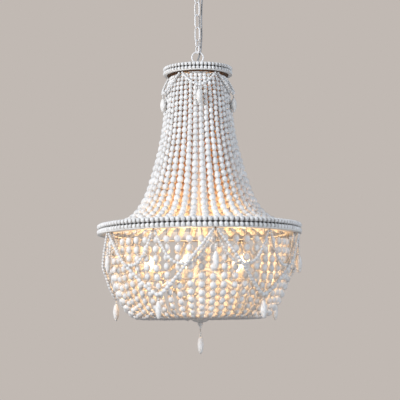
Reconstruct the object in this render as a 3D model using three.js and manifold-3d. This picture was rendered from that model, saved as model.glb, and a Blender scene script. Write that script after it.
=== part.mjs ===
// A beaded chandelier: wooden bead strands flare from a small crown hoop to a wide main hoop, and a
// second set hangs below it as a bowl that closes on a dish. Five candle lamps stand inside the bowl.
// Bead garlands with spindle drops are hung round both hoops. Millimetres, +Z up, the ceiling is z = 0,
// the front is towards -Y, and angles run from the front towards +X.
import * as THREE from 'three';
import { mergeVertices } from 'three/addons/utils/BufferGeometryUtils.js';
import Module from 'manifold-3d';

const wasm = await Module();
wasm.setup();

// Clearance between two pieces that touch.
const SEAT_GAP = 0.3;
// Clearance of the two rings that the lamp swings and tilts on.
const SWING_GAP = 0.6;
// How far one fused piece is sunk into the other.
const FUSE_DEPTH = 1;

// Five lamps, five long garlands and five crown garlands share the layout.
const FOLD = 5;
const SECTOR = 360 / FOLD;

// Ceiling fitting.
const BRACKET_LENGTH = 96;
const BRACKET_WIDTH = 20;
const BRACKET_THICKNESS = 3;
const NIPPLE_RADIUS = 5;
const CANOPY_RADIUS = 65;
const CANOPY_DEPTH = 28;
const CANOPY_WALL = 1.6;
const CANOPY_LAND_RADIUS = 25;
const CANOPY_BORE_CLEARANCE = 0.5;
const BUSHING_RADIUS = 5;
const BUSHING_HEIGHT = 5;
const BUSHING_REACH = 16;
const COLLAR_RADIUS = 8;
const COLLAR_HEIGHT = 10;
const CANOPY_RING_RADIUS = 11;
const CANOPY_RING_TURN = -45;
const RING_WIRE_RADIUS = 2.25;

// Chain of oval links, each turned against its neighbours.
const LINK_WIRE_RADIUS = 2;
const LINK_LENGTH = 47;
const LINK_WIDTH = 22;
const LINK_TURNS = [45, -45, 45, -45];
const SMALL_LINK_LENGTH = 27;
const SMALL_LINK_WIDTH = 17;
const SMALL_LINK_TURNS = [45, -50];

// Power cord beside the chain.
const CORD_RADIUS = 2.5;

// Screw loop on top of the crown.
const LOOP_RING_RADIUS = 17.25;
const LOOP_COLLAR_RADIUS = 9;
const LOOP_COLLAR_HEIGHT = 24;
const LOOP_FOOT_RADIUS = 14;
const LOOP_FOOT_HEIGHT = 4;

// Crown hoop: an iron band with an inward flange, two rows of beads on its face, and flat spokes.
const CROWN_RADIUS = 105;
const CROWN_BEAD = 12;
const CROWN_FLANGE_WIDTH = 21;
const FLANGE_THICKNESS = 2.5;
const BAND_WALL = 3;
const SPOKE_WIDTH = 11;
const CROWN_HUB_RADIUS = 17;

// Main hoop.
const CROWN_TO_MAIN = 477;
const MAIN_RADIUS = 305;
const MAIN_BEAD = 15.5;
const MAIN_FLANGE_WIDTH = 32;

// Strands, strung on wire that is laced down and up between the hoops.
const WIRE_RADIUS = 1.2;
const UPPER_PER_SECTOR = 8;
const UPPER_TOP_BEAD = 11;
const UPPER_END_BEAD = 20;
const LOWER_PER_SECTOR = 10;
// The lower strands are laced this many degrees round from the front.
const LOWER_TURN = -2.4;
const LOWER_TOP_BEAD = 20;
const LOWER_END_BEAD = 7;
const LOWER_HANGER = 18;
const BOWL_DEPTH = 226;
// The bowl's floor hangs this much lower than the strands' ends at the dish.
const BOWL_SAG = 8;
const BOWL_WIRE_INSET = 3;

// The flare of an upper strand, from the crown down: share of its drop, share of its reach.
const FLARE_SHARES = [
  [0.0, 0.0], [0.08, 0.05], [0.39, 0.14], [0.642, 0.285], [0.816, 0.435], [0.927, 0.64], [1.0, 1.0],
];
// The outline of a lower strand, from the hoop down: share of the bowl's depth, share of its radius,
// and share of the way from the top bead's size to the last one's.
const BOWL_SHARES = [
  [0.0, 1.0, 0.0], [0.44, 0.976, 0.05], [0.75, 0.895, 0.14],
  [0.95, 0.77, 0.24], [1.0, 0.64, 0.36], [1.0, 0.3, 1.0],
];

// Stem, lamp arms, sleeves and bulbs.
const STEM_RADIUS = 5;
const HUB_RADIUS = 19;
const HUB_HEIGHT = 26;
const HUB_BELOW_MAIN = 118;
const ARM_RADIUS = 4;
const ARM_REACH = 150;
const ARM_DIP = 54;
const LAMP_START = -85;
const CUP_RADIUS = 19;
const CUP_HEIGHT = 6;
const SLEEVE_RADIUS = 12;
const SLEEVE_HEIGHT = 28;
const SLEEVE_TOP_BELOW_MAIN = 122;
const BULB_BASE_RADIUS = 8.5;
const BULB_BASE_LENGTH = 18;
const BULB_RADIUS = 17.5;
const BULB_LENGTH = 70;
// From the hub outwards: share of the reach, share of the dip.
const ARM_ROUTE_SHARES = [[0.06, 0.0], [0.3, 0.12], [0.55, 0.6], [0.8, 1.0], [0.95, 0.97], [1.0, 0.82]];
// Glass of a candle bulb, from the base up: share of its radius, share of its length.
const BULB_SHARES = [[0.62, 0.0], [0.95, 0.2], [1.0, 0.36], [0.8, 0.62], [0.3, 0.9], [0.0, 1.0]];

// Dish, nut and finial at the foot of the bowl.
const DISH_RADIUS = 31;
const DISH_DEPTH = 20;
const DISH_WALL = 2.2;
const DISH_BOSS_RADIUS = 8.5;
const NUT_RADIUS = 9;
const NUT_HEIGHT = 14;
const FINIAL_RADIUS = 8.5;
const FINIAL_HEIGHT = 18;
const FINIAL_TIP_RADIUS = 3.5;

// Garlands. The beads grow towards the middle of each swag, and seed beads fill its ends.
const GARLAND_CLEARANCE = 1.5;
const LAYER_CLEARANCE = 0.8;
const SEED_BEAD = 6;
const CROWN_SWAG_BEAD = 9;
// The swag at the front is hung a little shorter than the other four.
const CROWN_SWAG_DROPS = [60, 60, 60, 60, 45];
const CROWN_SWAG_BEADS = 9;
const CROWN_SWAG_START = 38;
const SHORT_SWAG_BEAD = 11;
const SHORT_SWAG_DROP = 97;
const SHORT_SWAG_TUCK = 5.5;
const SHORT_SWAG_BEADS = 9;
const LONG_SWAG_BEAD = 14;
const LONG_SWAG_DROP = 182;
const LONG_SWAG_BEADS = 21;
const LONG_SWAG_TUCK = 40;
const HOOK_RUN = 8;
const HOOK_RISE = 1.5;
const HOOK_START = 8.8;
// How full a swag hangs: 1 is a straight V, 2 a parabola. The weight of a drop pulls it towards the V.
const DROP_SWAG_FULLNESS = 1.35;
const FREE_SWAG_FULLNESS = 2.5;
// How a swag leans in from its hooks to its low point: share of its drop, share of its lean.
const EVEN_LEAN_SHARES = [[0.0, 0.0], [1.0, 1.0]];
// The long swags lean in where they have passed the short ones: share of the rest of their drop, share of
// their lean.
const PASSED_LEAN_SHARES = [[0.0, 0.16], [0.25, 0.46], [0.58, 0.68], [1.0, 1.0]];
const BEAD_GROWTH_SHARE = 0.72;
const BEAD_NECK_SHARE = 0.32;

// Spindle drops.
const DROP_RADIUS = 9;
const DROP_LENGTH = 52;
const CROWN_DROP_LENGTH = 43;
const DROP_WIRE_RADIUS = 1.1;
const DROP_BEAD_RADIUS = 3;
const CROWN_DROP_HANGER = 8;
const SWAG_DROP_HANGER = 9;
const HOOK_DROP_HANGER = 62;
const BOTTOM_DROP_HANGER = 23;
// A spindle bead from its top down: share of its radius, share of its length.
const SPINDLE_SHARES = [[0.35, 0.0], [0.9, 0.26], [0.97, 0.52], [0.6, 0.8], [0.0, 1.0]];

// Facet counts.
const WIRE_SIDES = 6;
const STRAND_SIDES = 3;
const CORD_SIDES = 7;
const CORD_STEPS = 20;
const LINK_ARC_STEPS = 4;
const DROP_SIDES = 5;
const NUT_SIDES = 6;
const LAMP_SIDES = 8;

const FINISHES = {
  metal: { color: 0xe6e5e1, roughness: 0.5, metalness: 0.25 },
  wood: { color: 0xe3e2df, roughness: 0.75, metalness: 0 },
  cord: { color: 0x8e9090, roughness: 0.4, metalness: 0 },
  sleeve: { color: 0xf0ece2, roughness: 0.6, metalness: 0 },
  bulb: { color: 0xfff1d0, roughness: 0.15, metalness: 0 },
};

const chandelier = new THREE.Group();
chandelier.name = 'beaded_chandelier';

// Adds one piece under its name, with a material of its own.
function addPiece(name, geometry, finish) {
  const piece = new THREE.Mesh(geometry, new THREE.MeshStandardMaterial(FINISHES[finish]));
  piece.name = name;
  chandelier.add(piece);
  return piece;
}

const radians = THREE.MathUtils.degToRad;
const lerp = THREE.MathUtils.lerp;

// The second value of a table at a first value, straight between its rows and on past its ends.
function fromTable(rows, share) {
  const above = rows.findIndex(([at]) => at >= share);
  const i = above < 0 ? rows.length - 1 : Math.max(above, 1);
  const [[lastAt, last], [nextAt, next]] = [rows[i - 1], rows[i]];
  return lerp(last, next, (share - lastAt) / (nextAt - lastAt));
}

// A point at an angle from the front, at a radius and a height.
function around(angle, radius, z) {
  return new THREE.Vector3(radius * Math.sin(radians(angle)), -radius * Math.cos(radians(angle)), z);
}

// A closed surface of revolution about Z, from [radius, z] pairs listed downwards.
function turned(profile, segments) {
  const points = profile.map(([radius, z]) => new THREE.Vector2(radius, z));
  const geometry = new THREE.LatheGeometry(points.reverse(), segments);
  geometry.rotateX(Math.PI / 2);
  return outward(positionOnly(geometry));
}

// Keeps the shared positions alone, so that the surface is closed.
function positionOnly(geometry) {
  const bare = new THREE.BufferGeometry();
  bare.setAttribute('position', geometry.getAttribute('position').clone());
  if (geometry.index) bare.setIndex(geometry.index.clone());
  return withoutSlivers(mergeVertices(bare));
}

// Drops the triangles that a pole or a seam has flattened to a line.
function withoutSlivers(geometry) {
  const index = geometry.index.array;
  const kept = [];
  for (let i = 0; i < index.length; i += 3) {
    const [a, b, c] = index.slice(i, i + 3);
    if (a !== b && b !== c && c !== a) kept.push(a, b, c);
  }
  geometry.setIndex(kept);
  return geometry;
}

// Turns the faces of a closed surface outwards.
function outward(geometry) {
  const position = geometry.getAttribute('position');
  const index = geometry.index.array;
  const corner = [new THREE.Vector3(), new THREE.Vector3(), new THREE.Vector3()];
  let volume = 0;
  for (let i = 0; i < index.length; i += 3) {
    corner.forEach((point, k) => point.fromBufferAttribute(position, index[i + k]));
    volume += corner[0].dot(corner[1].clone().cross(corner[2]));
  }
  if (volume < 0) {
    for (let i = 0; i < index.length; i += 3) {
      [index[i], index[i + 1]] = [index[i + 1], index[i]];
    }
  }
  return geometry;
}

// A swept tube whose radius changes from station to station. Each station is { at, radius }. A closed
// tube joins its last station to its first. outwardAt gives the direction of the first corner there.
function swept(stations, sides, { closed = false, outwardAt = null, phase = 0 } = {}) {
  const count = stations.length;
  const tangents = stations.map((station, i) => {
    const next = stations[closed ? (i + 1) % count : Math.min(i + 1, count - 1)].at;
    const last = stations[closed ? (i + count - 1) % count : Math.max(i - 1, 0)].at;
    return next.clone().sub(last).normalize();
  });
  const vertices = [];
  let normal = null;
  stations.forEach((station, i) => {
    const along = tangents[i];
    const hint = outwardAt ? outwardAt(station.at) : normal ?? new THREE.Vector3(along.z, along.x, along.y);
    normal = hint.clone().addScaledVector(along, -hint.dot(along)).normalize();
    const side = along.clone().cross(normal);
    for (let k = 0; k < sides; k++) {
      const turn = (2 * Math.PI * k) / sides + phase;
      const corner = station.at.clone();
      corner.addScaledVector(normal, station.radius * Math.cos(turn));
      corner.addScaledVector(side, station.radius * Math.sin(turn));
      vertices.push(corner.x, corner.y, corner.z);
    }
  });
  const faces = [];
  const bands = closed ? count : count - 1;
  for (let i = 0; i < bands; i++) {
    const from = i * sides;
    const to = ((i + 1) % count) * sides;
    for (let k = 0; k < sides; k++) {
      const l = (k + 1) % sides;
      faces.push(from + k, from + l, to + l, from + k, to + l, to + k);
    }
  }
  if (!closed) {
    const end = (count - 1) * sides;
    for (let k = 1; k < sides - 1; k++) faces.push(0, k + 1, k, end, end + k, end + k + 1);
  }
  const geometry = new THREE.BufferGeometry();
  geometry.setAttribute('position', new THREE.Float32BufferAttribute(vertices, 3));
  geometry.setIndex(faces);
  return outward(geometry);
}

// A round bar along a curve.
function bar(curve, radius, sides, steps) {
  const corners = [];
  for (let k = 0; k < sides; k++) {
    const turn = (2 * Math.PI * k) / sides;
    corners.push(new THREE.Vector2(radius * Math.cos(turn), radius * Math.sin(turn)));
  }
  const section = new THREE.Shape(corners);
  const geometry = new THREE.ExtrudeGeometry(section, { steps, extrudePath: curve, curveSegments: 1 });
  return outward(positionOnly(geometry));
}

// Joins closed pieces into one.
function fused(...geometries) {
  const [first, ...rest] = geometries.map(toSolid);
  let solid = first;
  for (const next of rest) solid = solid.add(next);
  return toGeometry(solid);
}

function toSolid(geometry) {
  const closed = positionOnly(geometry);
  const vertProperties = new Float32Array(closed.getAttribute('position').array);
  const triVerts = new Uint32Array(closed.index.array);
  return new wasm.Manifold(new wasm.Mesh({ numProp: 3, vertProperties, triVerts }));
}

function toGeometry(solid) {
  const mesh = solid.getMesh();
  const geometry = new THREE.BufferGeometry();
  geometry.setAttribute('position', new THREE.BufferAttribute(mesh.vertProperties, 3));
  geometry.setIndex(new THREE.BufferAttribute(mesh.triVerts, 1));
  return geometry;
}

// A wire ring that stands upright, turned about Z.
function uprightRing(radius, wireRadius, z, turn, steps) {
  const ring = new THREE.TorusGeometry(radius, wireRadius, WIRE_SIDES, steps);
  ring.rotateX(Math.PI / 2);
  ring.rotateZ(radians(turn));
  ring.translate(0, 0, z);
  return ring;
}

// Height of the wire centre of a piece that hangs in the wire below it.
function hungIn(wireZ, wireRadius, ownRadius, gap) {
  return wireZ + wireRadius + ownRadius + gap;
}

// Ceiling bracket, with the nipple that carries everything.
const canopyFloor = -CANOPY_DEPTH;
const strap = new THREE.BoxGeometry(BRACKET_LENGTH, BRACKET_WIDTH, BRACKET_THICKNESS);
strap.translate(0, 0, -BRACKET_THICKNESS / 2);
const nipple = turned([
  [0, -BRACKET_THICKNESS + FUSE_DEPTH],
  [NIPPLE_RADIUS, -BRACKET_THICKNESS + FUSE_DEPTH],
  [NIPPLE_RADIUS, canopyFloor],
  [0, canopyFloor],
], 12);
addPiece('ceiling_bracket', fused(strap, nipple), 'metal');

// Canopy: a thin bell with a flat land under it.
function canopyShell() {
  const outer = [];
  const inner = [];
  const bellSteps = 3;
  const rise = CANOPY_DEPTH - CANOPY_WALL;
  for (let i = 0; i <= bellSteps; i++) {
    const turn = (Math.PI / 2) * (i / bellSteps);
    const reach = Math.sin(turn);
    const drop = 1 - Math.cos(turn);
    outer.push([lerp(CANOPY_LAND_RADIUS, CANOPY_RADIUS, reach), canopyFloor + CANOPY_DEPTH * drop]);
    const innerZ = canopyFloor + CANOPY_WALL + rise * drop;
    inner.push([lerp(CANOPY_LAND_RADIUS, CANOPY_RADIUS - CANOPY_WALL, reach), innerZ]);
  }
  const bore = NIPPLE_RADIUS + CANOPY_BORE_CLEARANCE;
  const profile = [[bore, canopyFloor], ...outer, ...inner.reverse(), [bore, canopyFloor + CANOPY_WALL]];
  profile.push(profile[0]);
  return turned(profile, 20);
}
addPiece('canopy', canopyShell(), 'metal');

// Ring and collar under the canopy.
const collarTop = canopyFloor - SEAT_GAP;
const canopyRingZ = collarTop - COLLAR_HEIGHT - CANOPY_RING_RADIUS;
const canopyCollar = turned([
  [0, collarTop],
  [COLLAR_RADIUS, collarTop],
  [COLLAR_RADIUS, collarTop - COLLAR_HEIGHT / 2],
  [COLLAR_RADIUS / 2, collarTop - COLLAR_HEIGHT],
  [0, collarTop - COLLAR_HEIGHT],
], 10);
const canopyRing = uprightRing(CANOPY_RING_RADIUS, RING_WIRE_RADIUS, canopyRingZ, CANOPY_RING_TURN, 12);
addPiece('canopy_loop', fused(canopyCollar, canopyRing), 'metal');

// Bushing that lets the cord out of the canopy.
const bushing = turned([
  [0, collarTop],
  [BUSHING_RADIUS, collarTop],
  [BUSHING_RADIUS * 0.8, collarTop - BUSHING_HEIGHT],
  [0, collarTop - BUSHING_HEIGHT],
], 10);
bushing.translate(BUSHING_REACH, 0, 0);
addPiece('cord_bushing', bushing, 'cord');

// One oval link, with its top wire at topZ.
function linkGeometry(length, width, topZ, turn) {
  const arcRadius = width / 2 - LINK_WIRE_RADIUS;
  const straight = length - width;
  const stations = [];
  for (const half of [1, -1]) {
    for (let i = 0; i <= LINK_ARC_STEPS; i++) {
      const swing = Math.PI * (i / LINK_ARC_STEPS) + (half > 0 ? 0 : Math.PI);
      const x = arcRadius * Math.cos(swing);
      const z = topZ - arcRadius - straight / 2 + half * (straight / 2) + arcRadius * Math.sin(swing);
      stations.push({ at: new THREE.Vector3(x, 0, z), radius: LINK_WIRE_RADIUS });
    }
  }
  const acrossLink = () => new THREE.Vector3(0, 1, 0);
  const geometry = swept(stations, WIRE_SIDES, { closed: true, outwardAt: acrossLink });
  geometry.rotateZ(radians(turn));
  return geometry;
}

// The chain hangs link by link from the canopy ring.
let carrierWireZ = canopyRingZ - CANOPY_RING_RADIUS;
let carrierWireRadius = RING_WIRE_RADIUS;
let carrierGap = SWING_GAP;
function hangLink(name, length, width, turn) {
  const topZ = hungIn(carrierWireZ, carrierWireRadius, LINK_WIRE_RADIUS, carrierGap);
  addPiece(name, linkGeometry(length, width, topZ, turn), 'metal');
  carrierWireZ = topZ - (length - 2 * LINK_WIRE_RADIUS);
  carrierWireRadius = LINK_WIRE_RADIUS;
  carrierGap = SEAT_GAP;
}
LINK_TURNS.forEach((turn, i) => hangLink(`chain_link_${i + 1}`, LINK_LENGTH, LINK_WIDTH, turn));
SMALL_LINK_TURNS.forEach((turn, i) => {
  hangLink(`small_link_${i + 1}`, SMALL_LINK_LENGTH, SMALL_LINK_WIDTH, turn);
});

// Screw loop on the crown: a ring on a collar with a foot.
const loopTopWireZ = hungIn(carrierWireZ, carrierWireRadius, RING_WIRE_RADIUS, SWING_GAP);
const loopRingZ = loopTopWireZ - LOOP_RING_RADIUS;
const loopCollarTop = loopRingZ - LOOP_RING_RADIUS + FUSE_DEPTH;
const loopFootZ = loopCollarTop - LOOP_COLLAR_HEIGHT;
const loopCollar = turned([
  [0, loopCollarTop],
  [LOOP_COLLAR_RADIUS, loopCollarTop],
  [LOOP_COLLAR_RADIUS, loopFootZ + LOOP_FOOT_HEIGHT],
  [LOOP_FOOT_RADIUS, loopFootZ + LOOP_FOOT_HEIGHT / 2],
  [LOOP_FOOT_RADIUS, loopFootZ],
  [0, loopFootZ],
], 12);
const loopRing = uprightRing(LOOP_RING_RADIUS, RING_WIRE_RADIUS, loopRingZ, 0, 18);
addPiece('top_loop', fused(loopCollar, loopRing), 'metal');

// Heights of the two hoops, measured at the middle of their bead rows.
const crownHubTop = loopFootZ - SEAT_GAP;
const crownZ = crownHubTop - CROWN_BEAD / 4;
const mainZ = crownZ - CROWN_TO_MAIN;

// A band with an inward flange at its foot and two bulging rows of beads on its face.
function hoopRing(radius, bead, flangeWidth, z, segments) {
  const bandInner = radius - bead - BAND_WALL;
  const bandOuter = radius - bead / 2;
  const valley = radius - bead * 0.45;
  const flangeTop = z - bead + FLANGE_THICKNESS;
  const profile = [
    [bandInner, z + bead],
    [bandOuter, z + bead],
    [radius, z + bead * 0.75],
    [radius, z + bead * 0.25],
    [valley, z],
    [radius, z - bead * 0.25],
    [radius, z - bead * 0.75],
    [bandOuter, z - bead],
    [bandInner - flangeWidth, z - bead],
    [bandInner - flangeWidth, flangeTop],
    [bandInner, flangeTop],
    [bandInner, z + bead],
  ];
  return turned(profile, segments);
}

function hoopFlange(radius, bead, flangeWidth, z) {
  const outer = radius - bead - BAND_WALL;
  return { outer, inner: outer - flangeWidth, top: z - bead + FLANGE_THICKNESS, bottom: z - bead };
}
const crownFlange = hoopFlange(CROWN_RADIUS, CROWN_BEAD, CROWN_FLANGE_WIDTH, crownZ);
const mainFlange = hoopFlange(MAIN_RADIUS, MAIN_BEAD, MAIN_FLANGE_WIDTH, mainZ);

// The crown's spokes run from its flange to the hub that the loop and the stem are screwed to.
function crownSpokes() {
  const spokes = [];
  const length = crownFlange.inner + FUSE_DEPTH;
  for (let i = 0; i < FOLD; i++) {
    const spoke = new THREE.BoxGeometry(SPOKE_WIDTH, length, FLANGE_THICKNESS);
    spoke.translate(0, -length / 2, crownFlange.bottom + FLANGE_THICKNESS / 2);
    spoke.rotateZ(radians(CROWN_SWAG_START + SECTOR * i));
    spokes.push(spoke);
  }
  return spokes;
}
const crownHubBottom = crownFlange.bottom;
const crownHub = turned([
  [0, crownHubTop],
  [CROWN_HUB_RADIUS, crownHubTop],
  [CROWN_HUB_RADIUS, crownHubBottom],
  [0, crownHubBottom],
], 12);
const crownRing = hoopRing(CROWN_RADIUS, CROWN_BEAD, CROWN_FLANGE_WIDTH, crownZ, 30);
addPiece('crown_hoop', fused(crownRing, crownHub, ...crownSpokes()), 'metal');
addPiece('main_hoop', hoopRing(MAIN_RADIUS, MAIN_BEAD, MAIN_FLANGE_WIDTH, mainZ, 44), 'metal');

// Strands. One wire per sector is laced down and up, so each sector's strands are one piece.
const upperTopRadius = crownFlange.inner + UPPER_TOP_BEAD;
const upperTopRunZ = crownFlange.bottom - SEAT_GAP - WIRE_RADIUS;
const upperEndRunRadius = mainFlange.outer - UPPER_END_BEAD / 2;
const upperEndRunZ = mainFlange.top + SEAT_GAP + WIRE_RADIUS;
const upperEndRadius = upperEndRunRadius - UPPER_END_BEAD / 2;
const upperStartZ = upperTopRunZ - UPPER_TOP_BEAD / 2;
const upperEndZ = mainZ + MAIN_BEAD * 0.1;
const lowerTopRadius = mainFlange.inner + LOWER_TOP_BEAD / 2;
const lowerTopRunZ = mainFlange.bottom - SEAT_GAP - WIRE_RADIUS;
const lowerStartZ = lowerTopRunZ - LOWER_HANGER;
const bowlFloorZ = lowerStartZ - BOWL_DEPTH;
const lowerEndRadius = DISH_RADIUS - BOWL_WIRE_INSET;
const lowerEndZ = bowlFloorZ + BOWL_SAG;

// Stations of an upper strand at an angle, from the crown to the main hoop.
function upperStrand(angle) {
  const stations = [{ at: around(angle, upperTopRadius, upperTopRunZ), radius: WIRE_RADIUS }];
  for (const [dropShare, reachShare] of FLARE_SHARES) {
    const radius = lerp(upperTopRadius, upperEndRadius, reachShare);
    const z = lerp(upperStartZ, upperEndZ, dropShare);
    const bead = lerp(UPPER_TOP_BEAD, UPPER_END_BEAD, dropShare);
    stations.push({ at: around(angle, radius, z), radius: bead / 2 });
  }
  stations.push({ at: around(angle, upperEndRunRadius, upperEndRunZ), radius: WIRE_RADIUS });
  return stations;
}

// Stations of a lower strand, from the main hoop to the floor of the bowl and up again to the dish.
function lowerStrand(angle) {
  const stations = [{ at: around(angle, lowerTopRadius, lowerTopRunZ), radius: WIRE_RADIUS }];
  for (const [depthShare, radiusShare, taperShare] of BOWL_SHARES) {
    const z = lowerStartZ - BOWL_DEPTH * depthShare;
    const radius = lerp(LOWER_TOP_BEAD, LOWER_END_BEAD, taperShare) / 2;
    stations.push({ at: around(angle, lowerTopRadius * radiusShare, z), radius });
  }
  stations.push({ at: around(angle, lowerEndRadius, lowerEndZ), radius: WIRE_RADIUS });
  return stations;
}

function lacedSector(strand, perSector, sector, turn = 0) {
  const step = SECTOR / perSector;
  const stations = [];
  for (let i = 0; i < perSector; i++) {
    const run = strand((sector - 0.5) * SECTOR + (i + 0.5) * step + turn);
    stations.push(...(i % 2 === 0 ? run : run.reverse()));
  }
  return swept(stations, STRAND_SIDES);
}
for (let i = 0; i < FOLD; i++) {
  addPiece(`upper_strands_${i + 1}`, lacedSector(upperStrand, UPPER_PER_SECTOR, i), 'wood');
  addPiece(`lower_strands_${i + 1}`, lacedSector(lowerStrand, LOWER_PER_SECTOR, i, LOWER_TURN), 'wood');
}

// Stem and lamp arms.
const hubTop = mainZ - HUB_BELOW_MAIN + HUB_HEIGHT / 2;
const hubBottom = hubTop - HUB_HEIGHT;
function rod(radius, top, bottom, segments) {
  return turned([[0, top], [radius, top], [radius, bottom], [0, bottom]], segments);
}
addPiece('upper_stem', rod(STEM_RADIUS, crownHubBottom - SEAT_GAP, hubTop + SEAT_GAP, 8), 'metal');

const sleeveTop = mainZ - SLEEVE_TOP_BELOW_MAIN;
const cupBottom = sleeveTop - SLEEVE_HEIGHT - CUP_HEIGHT;
function armCurve() {
  const hubMiddle = (hubTop + hubBottom) / 2;
  const points = ARM_ROUTE_SHARES.map(([reachShare, dipShare]) => (
    new THREE.Vector3(0, -ARM_REACH * reachShare, hubMiddle - ARM_DIP * dipShare)
  ));
  points.push(new THREE.Vector3(0, -ARM_REACH, cupBottom - SEAT_GAP));
  return new THREE.CatmullRomCurve3(points);
}
function lampArms() {
  const hub = turned([
    [0, hubTop],
    [HUB_RADIUS * 0.6, hubTop],
    [HUB_RADIUS, (hubTop + hubBottom) / 2],
    [HUB_RADIUS * 0.6, hubBottom],
    [0, hubBottom],
  ], 10);
  const arms = [];
  for (let i = 0; i < FOLD; i++) {
    const arm = bar(armCurve(), ARM_RADIUS, WIRE_SIDES, 8);
    arm.rotateZ(radians(LAMP_START + SECTOR * i));
    arms.push(arm);
  }
  return fused(hub, ...arms);
}
addPiece('lamp_arms', lampArms(), 'metal');

// Candle sleeves with a bore for the bulb's base, and the bulbs. A base has as many sides as its bore,
// so it is the bore's flats that clear the base's corners as it turns.
function sleeveGeometry() {
  const bore = (BULB_BASE_RADIUS + SEAT_GAP) / Math.cos(Math.PI / LAMP_SIDES);
  const boreFloor = sleeveTop - BULB_BASE_LENGTH - SEAT_GAP;
  return turned([
    [bore, sleeveTop],
    [SLEEVE_RADIUS, sleeveTop],
    [SLEEVE_RADIUS, cupBottom + CUP_HEIGHT],
    [CUP_RADIUS, cupBottom + CUP_HEIGHT * 0.8],
    [CUP_RADIUS * 0.4, cupBottom],
    [0, cupBottom],
    [0, boreFloor],
    [bore, boreFloor],
    [bore, sleeveTop],
  ], LAMP_SIDES);
}
function bulbGeometry() {
  const glassBottom = sleeveTop + SEAT_GAP;
  const glass = BULB_SHARES.map(([radiusShare, lengthShare]) => (
    [BULB_RADIUS * radiusShare, glassBottom + BULB_LENGTH * lengthShare]
  ));
  return turned([
    ...glass.reverse(),
    [BULB_BASE_RADIUS, glassBottom],
    [BULB_BASE_RADIUS, sleeveTop - BULB_BASE_LENGTH],
    [0, sleeveTop - BULB_BASE_LENGTH],
  ], LAMP_SIDES);
}
for (let i = 0; i < FOLD; i++) {
  const spot = around(LAMP_START + SECTOR * i, ARM_REACH, 0);
  addPiece(`candle_sleeve_${i + 1}`, sleeveGeometry(), 'sleeve').position.copy(spot);
  addPiece(`bulb_${i + 1}`, bulbGeometry(), 'bulb').position.copy(spot);
}

// Dish that gathers the lower strands, the nut that holds it, and the finial under it. The strands climb
// to it from the bowl's floor, and its rim seats them where they pass over it.
const floorEndRadius = lowerTopRadius * BOWL_SHARES.at(-1)[1];
const rimShare = (DISH_RADIUS - lowerEndRadius) / (floorEndRadius - lowerEndRadius);
const rimStrandZ = lerp(lowerEndZ, bowlFloorZ, rimShare);
const rimStrandRadius = lerp(WIRE_RADIUS, LOWER_END_BEAD / 2, rimShare);
const dishRim = rimStrandZ - rimStrandRadius - SEAT_GAP;
const dishFloor = dishRim - DISH_DEPTH;
const stemFoot = dishFloor + SEAT_GAP;
function dishGeometry() {
  const bore = STEM_RADIUS + SEAT_GAP;
  const wall = DISH_WALL;
  const bossTop = dishRim - wall;
  return turned([
    [DISH_RADIUS - 2 * wall, dishRim],
    [DISH_RADIUS, dishRim],
    [DISH_RADIUS * 0.86, dishRim - DISH_DEPTH * 0.6],
    [DISH_RADIUS * 0.5, dishFloor],
    [bore, dishFloor],
    [bore, bossTop],
    [DISH_BOSS_RADIUS, bossTop],
    [DISH_BOSS_RADIUS, dishFloor + wall],
    [DISH_RADIUS * 0.5 - wall, dishFloor + wall],
    [DISH_RADIUS * 0.86 - wall, dishRim - DISH_DEPTH * 0.6 + wall],
    [DISH_RADIUS - 2 * wall, dishRim],
  ], 16);
}
addPiece('bottom_dish', dishGeometry(), 'metal');
addPiece('lower_stem', rod(STEM_RADIUS, hubBottom - SEAT_GAP, stemFoot, 8), 'metal');

// The nut's bore is as many-sided as the nut, so its flats are what clears the stem.
const nutBottom = dishRim - DISH_WALL + SEAT_GAP;
const nutBore = (STEM_RADIUS + SEAT_GAP) / Math.cos(Math.PI / NUT_SIDES);
addPiece('dish_nut', turned([
  [nutBore, nutBottom + NUT_HEIGHT],
  [NUT_RADIUS, nutBottom + NUT_HEIGHT],
  [NUT_RADIUS, nutBottom],
  [nutBore, nutBottom],
  [nutBore, nutBottom + NUT_HEIGHT],
], NUT_SIDES), 'metal');

const finialTop = dishFloor - SEAT_GAP;
const finialTip = finialTop - FINIAL_HEIGHT;
addPiece('bottom_finial', turned([
  [0, finialTop],
  [FINIAL_RADIUS, finialTop],
  [FINIAL_RADIUS, finialTop - FINIAL_HEIGHT * 0.2],
  [FINIAL_TIP_RADIUS, finialTop - FINIAL_HEIGHT * 0.7],
  [FINIAL_TIP_RADIUS, finialTip],
  [0, finialTip],
], 10), 'metal');

// One spindle drop on its wire and small bead, with its top at the origin. The wire ends in a point,
// which lets the drop swing under what it hangs from.
function dropGeometry(hanger, length) {
  const beadMiddle = -hanger + DROP_BEAD_RADIUS * 1.5;
  const spindle = SPINDLE_SHARES.map(([radiusShare, lengthShare]) => (
    [DROP_RADIUS * radiusShare, -hanger - length * lengthShare]
  ));
  return turned([
    [0, 0],
    [DROP_WIRE_RADIUS, -DROP_WIRE_RADIUS],
    [DROP_WIRE_RADIUS, beadMiddle + DROP_BEAD_RADIUS],
    [DROP_BEAD_RADIUS, beadMiddle],
    [DROP_WIRE_RADIUS, -hanger],
    ...spindle,
  ], DROP_SIDES);
}
function hangDrop(name, hanger, length, at) {
  addPiece(name, dropGeometry(hanger, length), 'wood').position.copy(at);
}
hangDrop('bottom_drop', BOTTOM_DROP_HANGER, DROP_LENGTH, new THREE.Vector3(0, 0, finialTip - SEAT_GAP));

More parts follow.
